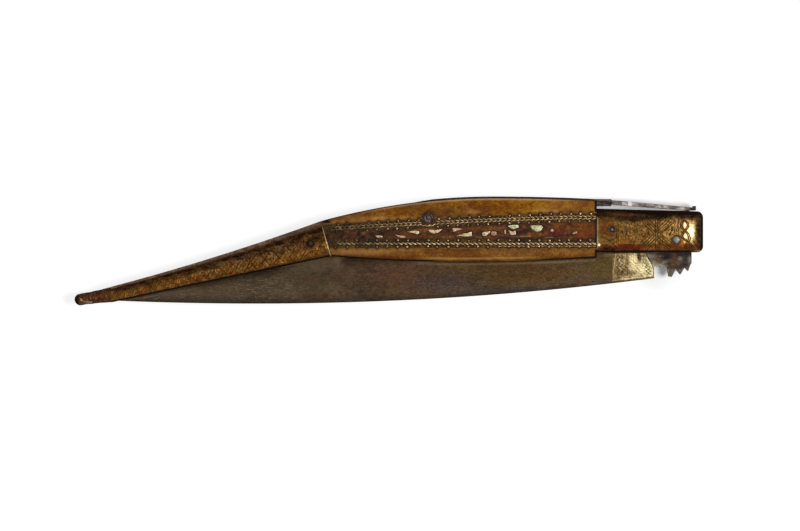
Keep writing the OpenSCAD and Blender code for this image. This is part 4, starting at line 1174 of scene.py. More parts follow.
def tip_rings():
    """Ovals of the tail tip."""
    x_round = X_TIP + TIP_R
    join_y = (TAIL_TOP_END[1] + TAIL_FOOT_END[1]) / 2
    join_half_y = (TAIL_TOP_END[1] - TAIL_FOOT_END[1]) / 2
    join_half_z = Z_LINER + TAIL_END_T
    ovals = []
    for along in np.linspace(0, 1, 60):
        ease = (1 - along) ** 2
        x = X_TAIL_END + (x_round - X_TAIL_END) * along
        ovals.append((x, straight(x, (X_TAIL_END, join_y), (x_round, TIP_MIDDLE_Y)),
                      TIP_R + (join_half_y - TIP_R) * ease, TIP_HALF_Z + (join_half_z - TIP_HALF_Z) * ease,
                      1 - 0.35 * ease))
    for turn in np.radians(np.linspace(8, 86, 14)):
        c, s = math.cos(turn), math.sin(turn)
        ovals.append((x_round - TIP_R * s, TIP_MIDDLE_Y, TIP_R * c, TIP_HALF_Z * c, 1.0))
    angle = np.linspace(0, 2 * math.pi, 60, endpoint=False)
    return np.array([
        np.column_stack([np.full(len(angle), x), y + half_y * squared(np.cos(angle), power),
                         half_z * squared(np.sin(angle), power)])
        for x, y, half_y, half_z, power in ovals
    ])


def make_tail_tip():
    """Rounded brass end of the tail, smooth from handling."""
    rings = tip_rings()
    x, y, z = np.moveaxis(rings, -1, 0)
    centre = rings.mean(axis=1, keepdims=True)
    dent = 0.05 * blotches(x + z, y, 3.0, 61)
    rings = centre + (rings - centre) * (1 - dent[..., None])
    across = (y - centre[..., 1]) / np.maximum(np.ptp(y, axis=1, keepdims=True) / 2, 0.1)
    nicks = np.zeros_like(x)
    for at in np.cumsum(np.random.default_rng(64).uniform(1.2, 2.4, 12)) + X_TIP + 3.0:
        nicks = np.maximum(nicks, crest(x, at, 0.35) * rise(across, 0.4, 0.3))
    grime = most(
        fall(x, X_TIP + TIP_R - 0.3, 0.7) * 0.97, rise(np.abs(across), 0.8, 0.1) * 0.95, nicks * 0.9,
        unit(blotches(x, y + z, 2.2, 62) * 1.8 - 0.7) * 0.6, rise(across, 0.1, 0.5) * 0.5,
    )
    # Painted highlight low on the rounded end
    glint = 0.5 * cut(x, y, TIP_GLINT, 0.25) * (np.abs(z) > 0.8)
    glint = np.maximum(glint, near_point(x, y, (X_TIP + 2.7, -22.8), 0.4) * 0.45)
    specks = np.clip(blotches(x, y, 1.0, 65) * 3 - 2.4, 0, 0.16)
    traits = {
        "grime": grime * (1 - glint),
        "worn": 0.35 * blotches(x, y, 2.0, 63),
        "bright": unit(glint + specks * band(x, X_TIP + 3.5, X_TIP + 11, 1.5)),
        "red": band(x, X_TIP + 4.0, X_TIP + 11.0, 3.0) * (0.3 + 0.4 * blotches(x, y, 2.4, 66)),
        "warm": rise(x, X_TAIL_END - 5, 5) * 0.3,
    }
    make_piece("rounded_tail_tip", tube(rings), "tip_brass", "tail_tip", traits)


# Horn scales, and the pins of the two bands of inlay, whose rows lie below and above the bands' middles

LOWER_LOW = fixed(LOWER_BAND_Y - BAND_H / 2)
LOWER_HIGH = fixed(LOWER_BAND_Y + BAND_H / 2)
UPPER_LOW = raised(upper_mid, -BAND_H / 2)
UPPER_HIGH = raised(upper_mid, BAND_H / 2)
STUD_PITCH = 3.86
STUD_ROWS = {"lower": (-1.05, 1.4), "upper": (-1.55, 1.3)}
STUDS_LOST = {"lower": 0.04, "upper": 0.1}
STUD_R = 0.46
RIVET_ROOM = 3.7
END_GAP = 0.95
HORN_BEVEL = 0.45
HORN_FOOT_WIDTH = 2.2
HORN_SHOULDER_DEPTH = 2.6
HORN_WAVE = 0.10
SEAT_R = 2.9
SEAT_DEPTH = 0.35
END_DEPTH = 0.35
HORN_PATCHES = {
    "warm": [(-94, 15.5, 40, 4.2, 0.9), (-54, 12.0, 34, 7, 1.0), (-104, 9.0, 16, 6, 0.8),
             (-70, -8.3, 34, 1.4, 0.9), (-40, 14.0, 12, 5, 0.45), (-90, -5.0, 22, 2.4, 0.5),
             (-42, -5.0, 12, 3, 0.35), (-122, 7.8, 5.0, 1.6, 0.6)],
    "pale": [(-128.0, 6.2, 1.8, 0.8, 0.5), (-124.2, 6.9, 1.4, 0.7, 0.35), (-113.2, 8.0, 3.2, 0.9, 0.5),
             (-120, -4.6, 12, 1.3, 0.25), (-49, 11.0, 6, 0.7, 0.3), (-78, 10.6, 3, 0.8, 0.3),
             (-122.5, 7.8, 5.0, 1.4, 0.2), (-40, 12.5, 12, 3, 0.1)],
    "dark": [(-101, 11.5, 9, 3.2, 0.35), (-86, 11, 5, 2, 0.3), (-122, -6.8, 20, 1.0, 0.3),
             (-44, -6.6, 16, 0.9, 0.35), (-34, 12.5, 3.5, 3.0, 0.2), (-68, -4.6, 38, 2.6, 0.12)],
    "knee": [(X_KNEE_TOP + 2.2, 5.6, 1.9, 2.4, 1.4), (-130.5, 3.4, 2.5, 1.2, 0.8)],
}


def stud_places(seed):
    """Brass pins along both edges of each band, set by hand and so a little uneven. Some of them are lost,
    and none stands under the rosette of the spring's rivet."""
    draw = np.random.default_rng(seed)
    places = []
    for name, middle_line in (("lower", fixed(LOWER_BAND_Y)), ("upper", upper_mid)):
        for row in STUD_ROWS[name]:
            start = X_BOLSTER - 1.6 - draw.uniform(0, 1.2)
            for x in np.arange(start, X_KNEE + 1.2, -STUD_PITCH):
                jitter = draw.normal(0, 0.16, 2)
                lost = draw.uniform() < STUDS_LOST[name]
                y = float(middle_line(np.array(x))) + row
                place = np.array([x + jitter[0], y + 0.5 * jitter[1]])
                if not lost and np.linalg.norm(place - SPRING_RIVET) > RIVET_ROOM:
                    places.append((place, name, row))
    return places


def outer_studs(studs, name):
    """The pins of a band's row that lies next to the horn."""
    row = STUD_ROWS[name][0 if name == "lower" else 1]
    return [place for place, where, own_row in studs if where == name and own_row == row]


def round_studs(x, y, places, radius):
    """1 at each pin, fading to 0 at about a radius."""
    return most(np.zeros_like(x), *(near_point(x, y, place, radius) for place in places))


def knee_weight(xs):
    """How far a ring near the knee lies over."""
    return eased(fall(xs, X_KNEE + KNEE_LENGTH, KNEE_LENGTH))


def end_dark(x):
    """How dark the handle's face is by its joint with the bolster, where dirt fills the gap."""
    return rise(x, X_BOLSTER - END_GAP, 0.2)


def horn_face(x):
    """Height of the horn's face."""
    return np.full_like(x, Z_HORN - 0.02)


def horn_shoulder(x):
    """Width of the rounded shoulder along the back, narrow where the band comes near it."""
    return np.clip(horn_top(x) - UPPER_HIGH(x) - 0.15, 0.2, 3.2)


def horn_traits(rings, edge, studs, seed):
    """Dirt, wear and tints of a horn scale, with painted shade along its belly and painted sheen on its
    shoulders.
    """
    x, y = rings[..., 0], rings[..., 1]
    marks = all_patches(x, y, HORN_PATCHES)
    halo = round_studs(x, y, outer_studs(studs, "lower") + outer_studs(studs, "upper"), 1.25)
    band_gap = np.where(y > 2, y - UPPER_HIGH(x), LOWER_LOW(x) - y)
    scallop = unit(1 - band_gap / (0.15 + 0.4 * blotches(x, y, 2.2, seed + 1))) * 0.5
    wall = fall(rings[..., 2], Z_HORN - 2.1, 0.3) * (edge > 0.6)
    top = rise(y, horn_top(x) - 0.42, 0.2) * (0.95 - 0.5 * wall)
    # Painted shade along the belly, where the handle meets the blade
    foot = fall(y, horn_foot(x) + 0.75, 0.3) * (1 - 0.8 * band(x, -86, -56, 8)) * (1 - 0.55 * wall)
    speck = near_point(x, y, (X_KNEE_TOP + 2.4, 4.5), 0.4)
    ring = near_point(x, y, SPRING_RIVET, 3.3) * 0.6
    ends = unit(1 - (x - X_KNEE + lean(y)) / 0.5) * 0.6 + end_dark(x)
    grime = most(halo * 0.85, scallop, top, foot, marks["knee"], ring, ends, marks["dark"])
    # Painted sheen: a pale line under the back and another above the belly
    ridge = crest(y, horn_top(x) - 0.66, 0.2) * band(x, X_BOLSTER - 75, X_BOLSTER - 20, 16)
    lip = crest(y, horn_foot(x) + 1.2, 0.3) * band(x, -92, -58, 9) * 0.55
    between_studs = unit(1 - band_gap / 1.1) * (1 - halo) * band(x, -134, -104, 8) * 0.4
    return {
        "grime": unit(grime - speck),
        "worn": most(ridge * 0.75, lip, between_studs, marks["pale"]) * (1 - top),
        "warm": unit(marks["warm"] * (0.7 + 0.5 * blotches(x, y, 8.0, seed + 3)) + 0.15),
        "bright": np.maximum(speck, ridge * 0.4 * (1 - top)),
    }


def make_horn_scale(side, turn, seed, studs):
    """Horn scale with a sunk panel for the inlay."""
    xs = np.concatenate([
        X_KNEE + HORN_BEVEL * (1 - np.cos(np.linspace(0, math.pi / 2, 5))),
        np.arange(X_KNEE + HORN_BEVEL + 0.35, X_BOLSTER, 0.35),
        X_BOLSTER - np.array([0.85, 0.65, 0.45, 0.25, 0.12, 0.0]),
    ])
    xs = np.unique(np.minimum(xs, X_BOLSTER))
    pocket = fixed(Z_POCKET)
    lower = field(raised(horn_foot, HORN_FOOT_WIDTH), LOWER_LOW, horn_face, 12)
    upper = field(UPPER_HIGH, lambda x: horn_top(x) - horn_shoulder(x), horn_face, 14)
    panel = [(LOWER_LOW, horn_face, 0.0), (LOWER_LOW, pocket, 0.0), (UPPER_HIGH, pocket, 0.0),
             (UPPER_HIGH, horn_face, 0.0)]
    lines = cheek_lines(horn_foot, horn_top, horn_face, fixed(HORN_FOOT_WIDTH), horn_shoulder,
                        fixed(HORN_SHOULDER_DEPTH), lower + panel + upper)
    rings = sweep(xs, lines, knee_weight(xs))
    edge = np.array([near for _, _, near in lines])
    x, y = rings[..., 0], rings[..., 1]
    on_face = unit(1 - edge) * (rings[..., 2] > Z_POCKET + 0.1)
    waves = blotches(x, y, 18.0, seed)
    seat = fall(np.hypot(x - SPRING_RIVET[0], y - SPRING_RIVET[1]), SEAT_R, 0.5)
    ends = fall(xs, X_KNEE + HORN_BEVEL, HORN_BEVEL) ** 2 + rise(xs, X_BOLSTER - 0.3, 0.3) ** 2
    rings[..., 2] -= (HORN_WAVE * waves + SEAT_DEPTH * seat + END_DEPTH * ends[:, None]) * on_face
    make_piece("amber_horn_scale_" + side, tube(rings), "amber_horn", "horn_scale_" + side,
               horn_traits(rings, edge, studs, seed), turn)


# Inlay. A wire is a pair of strands: its line, how far it lies from that line, its strands' radius, the way
# they are laid, and how bright they are rubbed.

PANEL_END_GAP = 0.35
X_REAR = X_KNEE + PANEL_END_GAP
BED_STEP = 0.28
WIRE_TURN = 3.6
ROPE_Y = -1.45
STRAND_HEIGHT = 1.9
RIVET_GAP = 2.7
RIVET_BEND = 0.55
RIVET_BEND_HALF = 2.4
DIRTY_FROM = -100
DIRTY_LENGTH = 22

# Pearl chips: the tints of the left and right ends, and the corners as X from the bolster and Y from the
# pivot

CHIPS = [
    (0.2, 0.3, [(-84.5, 1.2), (-83.9, 1.65), (-82.2, 1.7), (-81.6, 1.35), (-81.8, 0.85), (-83.6, 0.75)]),
    (0.1, 0.25, [(-77.05, 2.1), (-75.2, 1.6), (-73.6, 1.65), (-72.6, 1.05), (-73.9, 0.65), (-75.6, 0.95),
                 (-76.4, 1.6)]),
    (0.1, 0.5, [(-72.7, 3.15), (-70, 3.4), (-68.6, 3.5), (-67.75, 3.2), (-67.7, 2.45), (-68.4, 2.05),
                (-70, 2.6)]),
    (0.5, 0.2, [(-64.2, 3.75), (-63.3, 3.9), (-61, 3.8), (-58.6, 4.17), (-59.5, 3.29), (-60.8, 2.5),
                (-62.1, 2.25), (-63.65, 2.9)]),
    (0.25, 0.1, [(-55, 4.4), (-53.35, 4.47), (-50.3, 4.13), (-52.2, 3.75), (-53.35, 3.36), (-54.9, 2.94)]),
    (0.4, 0.5, [(-53.9, 1.45), (-51.06, 2.3), (-48.4, 2.83), (-47.6, 3.13), (-47.4, 1.22), (-50.3, 1.22)]),
    (0.55, 0.5, [(-43.9, 2.4), (-43, 2.98), (-41.9, 3.06), (-40.6, 3.3), (-40.9, 2.6), (-42.3, 1.45),
                 (-43.4, 1.45)]),
    (1.0, 1.0, [(-40.3, 2.8), (-39.6, 3.4), (-38.3, 2.98), (-38.1, 2.03), (-39.2, 1.45), (-40.4, 1.72)]),
    (0.3, 0.3, [(-35.1, 2.1), (-35.1, 3.9), (-34.7, 3.9), (-34.7, 2.1)]),
    (0.7, 0.72, [(-34.1, 5.27), (-32.3, 5.66), (-29.85, 5.7), (-29.7, 4.7), (-31.6, 4), (-32.7, 4.3)]),
    (0.35, 0.2, [(-33.9, 3.75), (-32.3, 3.17), (-30.9, 3.36), (-30.8, 1.9), (-32.7, 1.76)]),
    (0.75, 0.7, [(-25.6, 5.35), (-24.3, 5.5), (-20.5, 5.5), (-20.1, 4.9), (-21.4, 3.36), (-22.8, 3.06),
                 (-24.5, 3.94)]),
    (0.3, 0.2, [(-17.8, 3.36), (-17, 4.28), (-16.1, 3.36), (-17, 3.0)]),
    (0.1, 0.0, [(-9.6, 2.14), (-8.8, 2.9), (-7.5, 3.25), (-7.4, 2.5), (-8.65, 2.1)]),
]

# Cracks, pale scratches and old joints of the centre strip, and its soft patches

STRIP_CRACKS = [
    [(-52, 1.0), (-46.5, 1.25), (-43, 1.6), (-38.5, 1.9)], [(-68, 1.0), (-60, 0.9), (-53, 0.95)],
    [(-100, 1.6), (-97, 2.6)], [(-116, 1.2), (-112, 2.8)],
]
STRIP_SCRATCHES = [[(-63, 1.0), (-55.5, 1.25)], [(-50, 0.8), (-47, 1.0)]]
STRIP_JOINTS = [[(at_x, 0.6), (at_x + 0.3, 4.6)] for at_x in (-129.0, -102.4, -87.0, -64.6)]
STRIP_PATCHES = {
    "warm": [(-34.5, 3.4, 6, 3.5, 1.0), (-44, 4.6, 5, 1.6, 0.5), (-78, 4.5, 8, 2, 0.4),
             (-96, 4.2, 5, 1.5, 0.35), (-55, 1.4, 8, 0.8, 0.4)],
    "red": [(-125.8, 1.6, 3.4, 1.2, 0.4), (-36, 1.2, 2.5, 0.9, 0.5), (-101, 2.8, 4, 1.4, 0.45),
            (-46, 3.0, 4, 1.4, 0.35), (-70, 0.4, 3, 0.7, 0.6)],
}


def dirty_end(x):
    """How much dirt has gathered on the inlay near the knee."""
    return fall(x, DIRTY_FROM, DIRTY_LENGTH)


def make_slab(name, low, high, top_z, cells, slot, node, turn, relief, traits):
    """A strip of the inlay with an uneven top, from the knee to the bolster."""
    xs = np.append(np.arange(X_REAR, X_BOLSTER - 0.01, BED_STEP), X_BOLSTER)
    base = fixed(Z_POCKET + 0.02)
    lines = [(between(low, high, i / cells), fixed(top_z)) for i in range(cells + 1)]
    rings = sweep(xs, [(low, base)] + lines + [(high, base)], knee_weight(xs))
    x, y = rings[..., 0], rings[..., 1]
    rings[..., 2] -= relief(x, y) * (rings[..., 2] > Z_POCKET + 0.1)
    make_piece(name, tube(rings), slot, node, traits(x, y), turn)


def make_beds(side, turn, seed, studs):
    """Dark beds under the pins and wires. Horn shows between the pins of the outer rows."""
    def relief(x, y):
        return 0.08 * blotches(x, y, 1.5, seed + 5) + 0.06 * blotches(x, y, 0.8, seed + 6)

    for name, low, high in (("upper", UPPER_LOW, UPPER_HIGH), ("lower", LOWER_LOW, LOWER_HIGH)):
        def traits(x, y):
            halo = round_studs(x, y, outer_studs(studs, name), 1.0)
            rings = most(np.zeros_like(x), *(crest(np.hypot(x - place[0], y - place[1]), STUD_R + 0.12, 0.26)
                                             for place, where, _ in studs if where == name))
            gap = high(x) - y if name == "upper" else y - low(x)
            left = band(x, -140, -106, 22) * 0.6 * blotches(x, y, 4.0, seed + 8)
            grime = most(0.5 * blotches(x, y, 2.0, seed + 7) - 0.05, rings, left, end_dark(x))
            return {"grime": unit(grime), "worn": unit(unit(1.3 - gap / 0.42) * (1 - halo))}
        make_slab(f"{name}_band_bed_{side}", low, high, Z_BED, 18, "inlay_bed", f"{name}_bed_{side}", turn,
                  relief, traits)


def make_studs(side, turn, seed, studs):
    """Domed brass pins of the two bands, most of them dull and a few rubbed bright."""
    draw = np.random.default_rng(seed)
    segments = 12
    foot = Z_BED + 0.06
    parts = []
    worn = []
    grime = []
    for place, _, _ in studs:
        radius = STUD_R * draw.uniform(0.8, 1.1)
        top = Z_HORN - draw.uniform(0.0, 0.08)
        dome = [(radius * math.cos(a), foot + (top - foot) * math.sin(a)) for a in (0.5, 0.95, 1.35)]
        parts.append(turned(place, [(radius, Z_BED - 0.3), (radius, foot)] + dome, segments))
        dull = float(dirty_end(place[0]))
        bright = draw.uniform(0, 1) ** 2.2 * (1 - 0.8 * dull)
        worn.append(np.full(len(parts[-1][0]), bright))
        dirt_and_shade = np.repeat([1.0, 0.9, 0.55, 0.15, 0.0], segments) * (1 - 0.5 * bright)
        grime.append(np.maximum(dirt_and_shade, 0.6 * dull))
    make_piece("brass_pins_" + side, gathered(parts), "inlay_brass", "band_studs_" + side,
               {"worn": np.concatenate(worn), "grime": np.concatenate(grime)}, turn)


def strand(x_from, x_to, middle_line, offset, phase, radius, twist):
    """One strand of a twisted wire, hammered flat into its bed."""
    flat = (Z_HORN - Z_BED) / (4 * radius)
    x = np.linspace(x_from, x_to, int((x_to - x_from) / WIRE_TURN * 12))
    turn = twist * 2 * math.pi * x / WIRE_TURN + phase
    centre = np.column_stack([x, middle_line(x) + offset + radius * np.cos(turn), radius * np.sin(turn)])
    ahead = np.gradient(centre, axis=0)
    ahead /= np.linalg.norm(ahead, axis=1, keepdims=True)
    up = np.cross(ahead, (0.0, 1.0, 0.0))
    up /= np.linalg.norm(up, axis=1, keepdims=True)
    across = np.cross(up, ahead)
    rings = np.stack([centre + radius * (math.cos(angle) * up + math.sin(angle) * across)
                      for angle in np.linspace(0, 2 * math.pi, 7)[:-1]], axis=1)
    rings[..., 2] = Z_BED + rings[..., 2] * flat * STRAND_HEIGHT
    return tube(rings)


def round_the_rivet(x):
    """Middle of the upper band, bent down under the spring's rivet."""
    return upper_mid(x) - RIVET_BEND * np.exp(-(((x - SPRING_RIVET[0]) / RIVET_BEND_HALF) ** 4))


def make_wires(side, turn, seed):
    """Twisted brass wires: a single rope low down, a pair laid like a herringbone above."""
    rope = fixed(ROPE_Y)
    rear, front = X_KNEE, X_BOLSTER - 0.2
    wires = [
        ((rear, SPRING_RIVET[0] - RIVET_GAP), upper_mid, 0.36, 0.22, 1, 0.28),
        ((SPRING_RIVET[0] + RIVET_GAP, front), upper_mid, 0.36, 0.22, 1, 0.28),
        ((rear, front), round_the_rivet, -0.6, 0.22, -1, 0.28),
        ((X_KNEE + 1.6, front), rope, 0.0, 0.27, 1, 0.9),
        ((X_BOLSTER - 38, X_BOLSTER - 0.4), rope, -0.95, 0.13, 1, 0.5),
    ]
    parts = []
    bright = []
    for run, middle_line, offset, radius, twist, shine in wires:
        for phase in (0.0, math.pi):
            parts.append(strand(*run, middle_line, offset, phase, radius, twist))
            bright.append(np.full(len(parts[-1][0]), shine))
    points, faces = gathered(parts)
    x, y, z = points.T
    height = rise(z, Z_BED, Z_HORN - Z_BED)
    rubbed = 0.35 + 0.65 * blotches(x, y, 7.0, seed)
    dull = dirty_end(x) * (0.5 + 0.5 * blotches(x, y, 5.0, seed + 1))
    traits = {"worn": unit(np.concatenate(bright) * height**1.5 * rubbed) * (1 - dull),
              "grime": np.maximum(unit(1.15 - 1.7 * height), 0.66 * dull)}
    make_piece("twisted_wire_" + side, (points, faces), "inlay_brass", "twisted_wires_" + side, traits, turn,
               sharp=60.0)


def chip_outline(corners, draw):
    """Broken outline of a pearl chip: its corners, with small flaws between them."""
    corners = np.array(corners, float)
    outline = []
    for start, end in zip(corners, np.roll(corners, -1, axis=0)):
        for share in (0.0, 0.36, 0.7):
            flaw = draw.normal(0, 0.045, 2) * (share > 0)
            outline.append(start + (end - start) * share + flaw)
    return np.array(outline) + (X_BOLSTER, 0.0)


def make_chips(side, turn, seed):
    """Mother-of-pearl chips, each a broken sliver with a faintly rounded edge."""
    draw = np.random.default_rng(seed)
    parts = []
    tints = []
    grime = []
    for left_tint, right_tint, corners in CHIPS:
        outline = chip_outline(corners, draw)
        centre = outline.mean(0)
        tilt = draw.uniform(-0.02, 0.02, 2)
        rings = []
        for share, drop in ((1.0, 0.5), (1.0, 0.1), (0.9, 0.04), (0.5, 0.03)):
            ring = centre + (outline - centre) * share
            level = Z_HORN - drop + (ring - centre) @ tilt * (drop < 0.2)
            rings.append(np.column_stack([ring, np.minimum(level, Z_HORN - 0.005)]))
        parts.append(tube(rings))
        along = (parts[-1][0][:, 0] - outline[:, 0].min()) / np.ptp(outline[:, 0])
        tints.append(left_tint + (right_tint - left_tint) * along)
        dull = 0.55 * dirty_end(centre[0]) + 0.45 * (centre[0] > X_BOLSTER - 19)
        grime.append(np.maximum(np.repeat([1.0, 0.75, 0.1, 0.0], len(outline)), dull))
    make_piece("pearl_slivers_" + side, gathered(parts), "mother_of_pearl", "pearl_chips_" + side,
               {"tint": np.concatenate(tints), "grime": np.concatenate(grime)}, turn)


def make_centre_strip(side, turn, seed):
    """Stained strip that carries the pearl chips."""
    rims = [np.array(corners + corners[:1], float) + (X_BOLSTER, 0.0) for _, _, corners in CHIPS]

    def relief(x, y):
        return 0.07 + 0.05 * blotches(x, y, 3.0, seed) + 0.1 * cut(x, y, STRIP_CRACKS + STRIP_JOINTS, 0.2)

    def traits(x, y):
        flecks = unit(blotches(x, y, 2.2, seed + 4) * 2.2 - 1.3)
        edge = np.minimum(y - LOWER_HIGH(x), UPPER_LOW(x) - y)
        left = fall(x, -88, 26) * (0.15 + 0.9 * blotches(x * 0.8, y, 3.2, seed + 11))
        grime = most(0.9 * cut(x, y, STRIP_CRACKS, 0.24), 0.5 * cut(x, y, STRIP_JOINTS, 0.3), left,
                     0.85 * cut(x, y, rims, 0.42), flecks * 0.6, unit(1 - edge / 0.4) * 0.6, end_dark(x))
        pale = 0.6 * cut(x, y, STRIP_SCRATCHES, 0.2)
        return {"grime": unit(grime), "worn": pale, **all_patches(x, y, STRIP_PATCHES)}
    make_slab("stained_centre_strip_" + side, LOWER_HIGH, UPPER_LOW, Z_HORN, 22, "stained_horn",
              "centre_strip_" + side, turn, relief, traits)


# Rivets and rosettes. A rosette's profile lists the share of its radius, the height from the face that it
# stands on, and how dirty it is there. The painted shine is by the same points.

BOLSTER_ROSETTE = [
    (1, -0.25, 1.0), (1, 0.02, 0.9), (0.94, 0.12, 0.35), (0.78, 0.17, 0.0), (0.62, 0.1, 0.6),
    (0.5, 0.06, 1.0),
]
SPRING_ROSETTE = [
    (1, Z_POCKET - Z_HORN, 1.0), (1, -0.12, 1.0), (0.95, -0.03, 0.4), (0.86, -0.01, 0.1), (0.76, -0.22, 1.0),
    (0.66, -0.03, 0.1), (0.56, -0.04, 0.2), (0.5, -0.2, 1.0),
]
PIVOT_SHANK_R = 1.4
SPRING_ROSETTE_PAINTED_SHINE = [0.0, 0.0, 0.1, 0.3, 0.0, 0.9, 0.7, 0.0]


def rosette(node, place, base, profile, petals, deep, segments):
    """A petalled washer and how dirty it is."""
    low, high = span(node, 0)
    radius = (high - low) / 2

    def wobble(angle, reach):
        return 1 - deep * (0.5 - 0.5 * np.cos(petals * angle)) * (reach > 1.2)
    shape = turned(place, [(radius * share, base + height) for share, height, _ in profile], segments, wobble)
    return shape, np.repeat([dirt_and_shade for _, _, dirt_and_shade in profile], segments)


def make_rosettes():
    """Washers of the bolster's rivet and of the spring's, whose rings have two arcs of painted highlight."""
    for side, turn in SIDES.items():
        shape, grime = rosette("bolster_washer_front", BOLSTER_RIVET, Z_BOLSTER, BOLSTER_ROSETTE, 9, 0.14, 64)
        make_piece("rosette_of_bolster_rivet_" + side, shape, "aged_brass", "bolster_washer_" + side,
                   {"grime": grime}, turn)
        shape, grime = rosette("spring_washer_front", SPRING_RIVET, Z_HORN, SPRING_ROSETTE, 14, 0.05, 72)
        x, y = (shape[0][:, :2] - SPRING_RIVET).T
        around = np.arctan2(y, x)
        # Painted highlight: two bright arcs on the spring's rosette
        arcs = unit(np.cos(around + 2.2) * 1.6 - 0.2) + 0.6 * unit(np.cos(around - 0.3) * 3 - 2)
        make_piece("rosette_of_spring_rivet_" + side, shape, "dark_steel", "spring_washer_" + side,
                   {"grime": grime, "bright": arcs * np.repeat(SPRING_ROSETTE_PAINTED_SHINE, 72)}, turn)


def make_rivet(node, place, slot, shank_r, head_r, z_top, head_h, seed):
    """A shank through the handle with a hammered head on each side."""
    draw = np.random.default_rng(seed)
    low = z_top - head_h
    head = [(head_r, low)]
    head += [(head_r * math.cos(a), low + head_h * math.sin(a)) for a in (0.35, 0.7, 1.05, 1.35)]
    head += [(head_r * 0.06, z_top)]
    profile = [(r, -z) for r, z in head[::-1]] + [(shank_r, -low), (shank_r, low)] + head
    points, faces = turned(place, profile, 36)
    dents = 1 - 0.02 * draw.uniform(0, 1, len(points))
    points[:, :2] = np.array(place) + (points[:, :2] - np.array(place)) * dents[:, None]
    rim = np.hypot(points[:, 0] - place[0], points[:, 1] - place[1]) / head_r
    make_piece(node + "_peened", (points, faces), slot, node,
               {"grime": unit(rim * 2.4 - 1.5), "worn": unit(1 - rim * 1.3)})


def make_rivets():
    """The bolster's rivet, the spring's, the pin in the tail and the pivot pin."""
    bolster_r = span("bolster_rivet", 0)[1] - BOLSTER_RIVET[0]
    spring_r = span("spring_rivet", 0)[1] - SPRING_RIVET[0]
    tail_r = span("tail_pin", 0)[1] - TAIL_PIN[0]
    make_rivet("bolster_rivet", BOLSTER_RIVET, "aged_brass", bolster_r, bolster_r * 0.92,
               span("bolster_rivet", 2)[1], 0.14, 71)
    make_rivet("spring_rivet", SPRING_RIVET, "dark_steel", spring_r, spring_r * 0.97, Z_HORN - 0.01, 0.18, 72)
    make_rivet("tail_pin", TAIL_PIN, "iron", tail_r, tail_r, span("tail_pin", 2)[1] - 0.02, 0.1, 73)
    make_rivet("pivot_pin", (0.0, 0.0), "rivet_steel", PIVOT_SHANK_R, span("pivot_pin", 0)[1],
               span("pivot_pin", 2)[1], 0.33, 74)


# Blade. Its spine lies lowest when the knife is closed. Its edge is highest at EDGE_PEAK, in the handle.

ROOT_X = -22.0
SPINE_LOW = (X_BOLSTER - 129.7, -24.4)
SPINE_POINT = (X_POINT, -23.25)
SPINE_CORNER = (-8.2, -14.7)
EDGE_PEAK = (X_BOLSTER - 31.7, SPRING_RIVET[1] - 4.2)
EDGE_ROOT = (ROOT_X, 2.0)
EDGE_POINT_Y = -22.85
PLUNGE = 6.0
FLAT_CELLS = 46
POINT_T = 1.6
EDGE_HALF = 0.2
TANG_FROM = SPINE_CORNER[0] - 0.5

# The edge falls behind its peak as a power of the way, through a height at a share of the way

EDGE_SHARE = 77.5 / 152.5
EDGE_SHARE_Y = -4.2
EDGE_POWER = math.log((EDGE_PEAK[1] - EDGE_SHARE_Y) / (EDGE_PEAK[1] - EDGE_POINT_Y)) / math.log(EDGE_SHARE)

# Part of the tang that shows, along X and Y, and the distance between the lines cut across it

TANG_VIEW = [(-13.0, 7.2), (-13.4, -4.2)]
TANG_CELL = 0.4
TANG_SOFT = 0.09
BLADE_PATCHES = {
    # The first row's patches on the tang just under the bolster, at Y -5 to -6.6, are the bolster's painted
    # shadow
    "stains": [(-162.8, -21.9, 1.3, 0.5, 1.0), (-138, -21.5, 5, 1.6, 0.35), (-119, -19, 12, 4, 0.3),
               (-140, -14, 14, 6, 0.4), (-160, -16.5, 3, 1, 0.4), (-10.0, -5.0, 2.6, 0.9, 0.8),
               (-3.6, -6.6, 2.4, 1.3, 0.95), (-4.5, -5.4, 4.0, 0.9, 0.9), (3.6, -5.6, 4.0, 0.9, 0.85),
               (1.5, -5.0, 6, 0.9, 0.8), (3.8, -9.0, 1.0, 1.4, 0.5), (-1.8, -10.2, 1.0, 0.8, 0.5)],
    "red": [(-136, -21.4, 6, 1.4, 0.7), (-120, -13, 14, 6, 0.45), (-104, -14, 16, 8, 0.9),
            (-6.5, -7.6, 2.0, 1.2, 0.9), (-0.6, -8.0, 1.6, 1.8, 0.7)],
    "gold": [(-60, -12, 30, 7, 0.95), (-32, -10, 8, 8, 0.5), (-172, -18, 10, 3, 0.3)],
    "olive": [(-26, -10, 7, 8, 1.4)],
    "grey": [(-60, -19.4, 26, 1.6, 0.8), (-88, -17, 14, 4, 0.6), (-184, -22, 22, 3, 0.4),
             (5.0, -7.0, 3.2, 4.0, 0.8), (-30, -15.5, 12, 1.2, 0.5)],
    "scuffed": [(-156, -17, 14, 5.0, 0.5), (-195, -22.3, 14, 1.1, 0.8), (-165, -22.6, 20, 1.3, 0.9),
                (-190, -20.5, 10, 1.4, 0.4), (-147, -11.5, 4, 1.6, 0.8), (-60, -19.6, 12, 0.5, 0.5)],
    "pale_tang": [(-7.0, -10.0, 3.4, 0.6, 0.8), (-9.8, -7.6, 0.9, 1.6, 0.6), (-4.2, -8.6, 1.2, 0.5, 0.4),
                  (1.6, -7.2, 0.9, 0.9, 0.35), (5.4, -7.6, 0.7, 2.0, 0.4)],
    "paler": [(-150, -18, 22, 5, 0.22), (-182, -21, 20, 3, 0.35)],
}


def spine(x):
    """Spine of the blade."""
    return np.where(x < SPINE_LOW[0], bow(x, SPINE_LOW, SPINE_POINT), bow(x, SPINE_LOW, SPINE_CORNER))


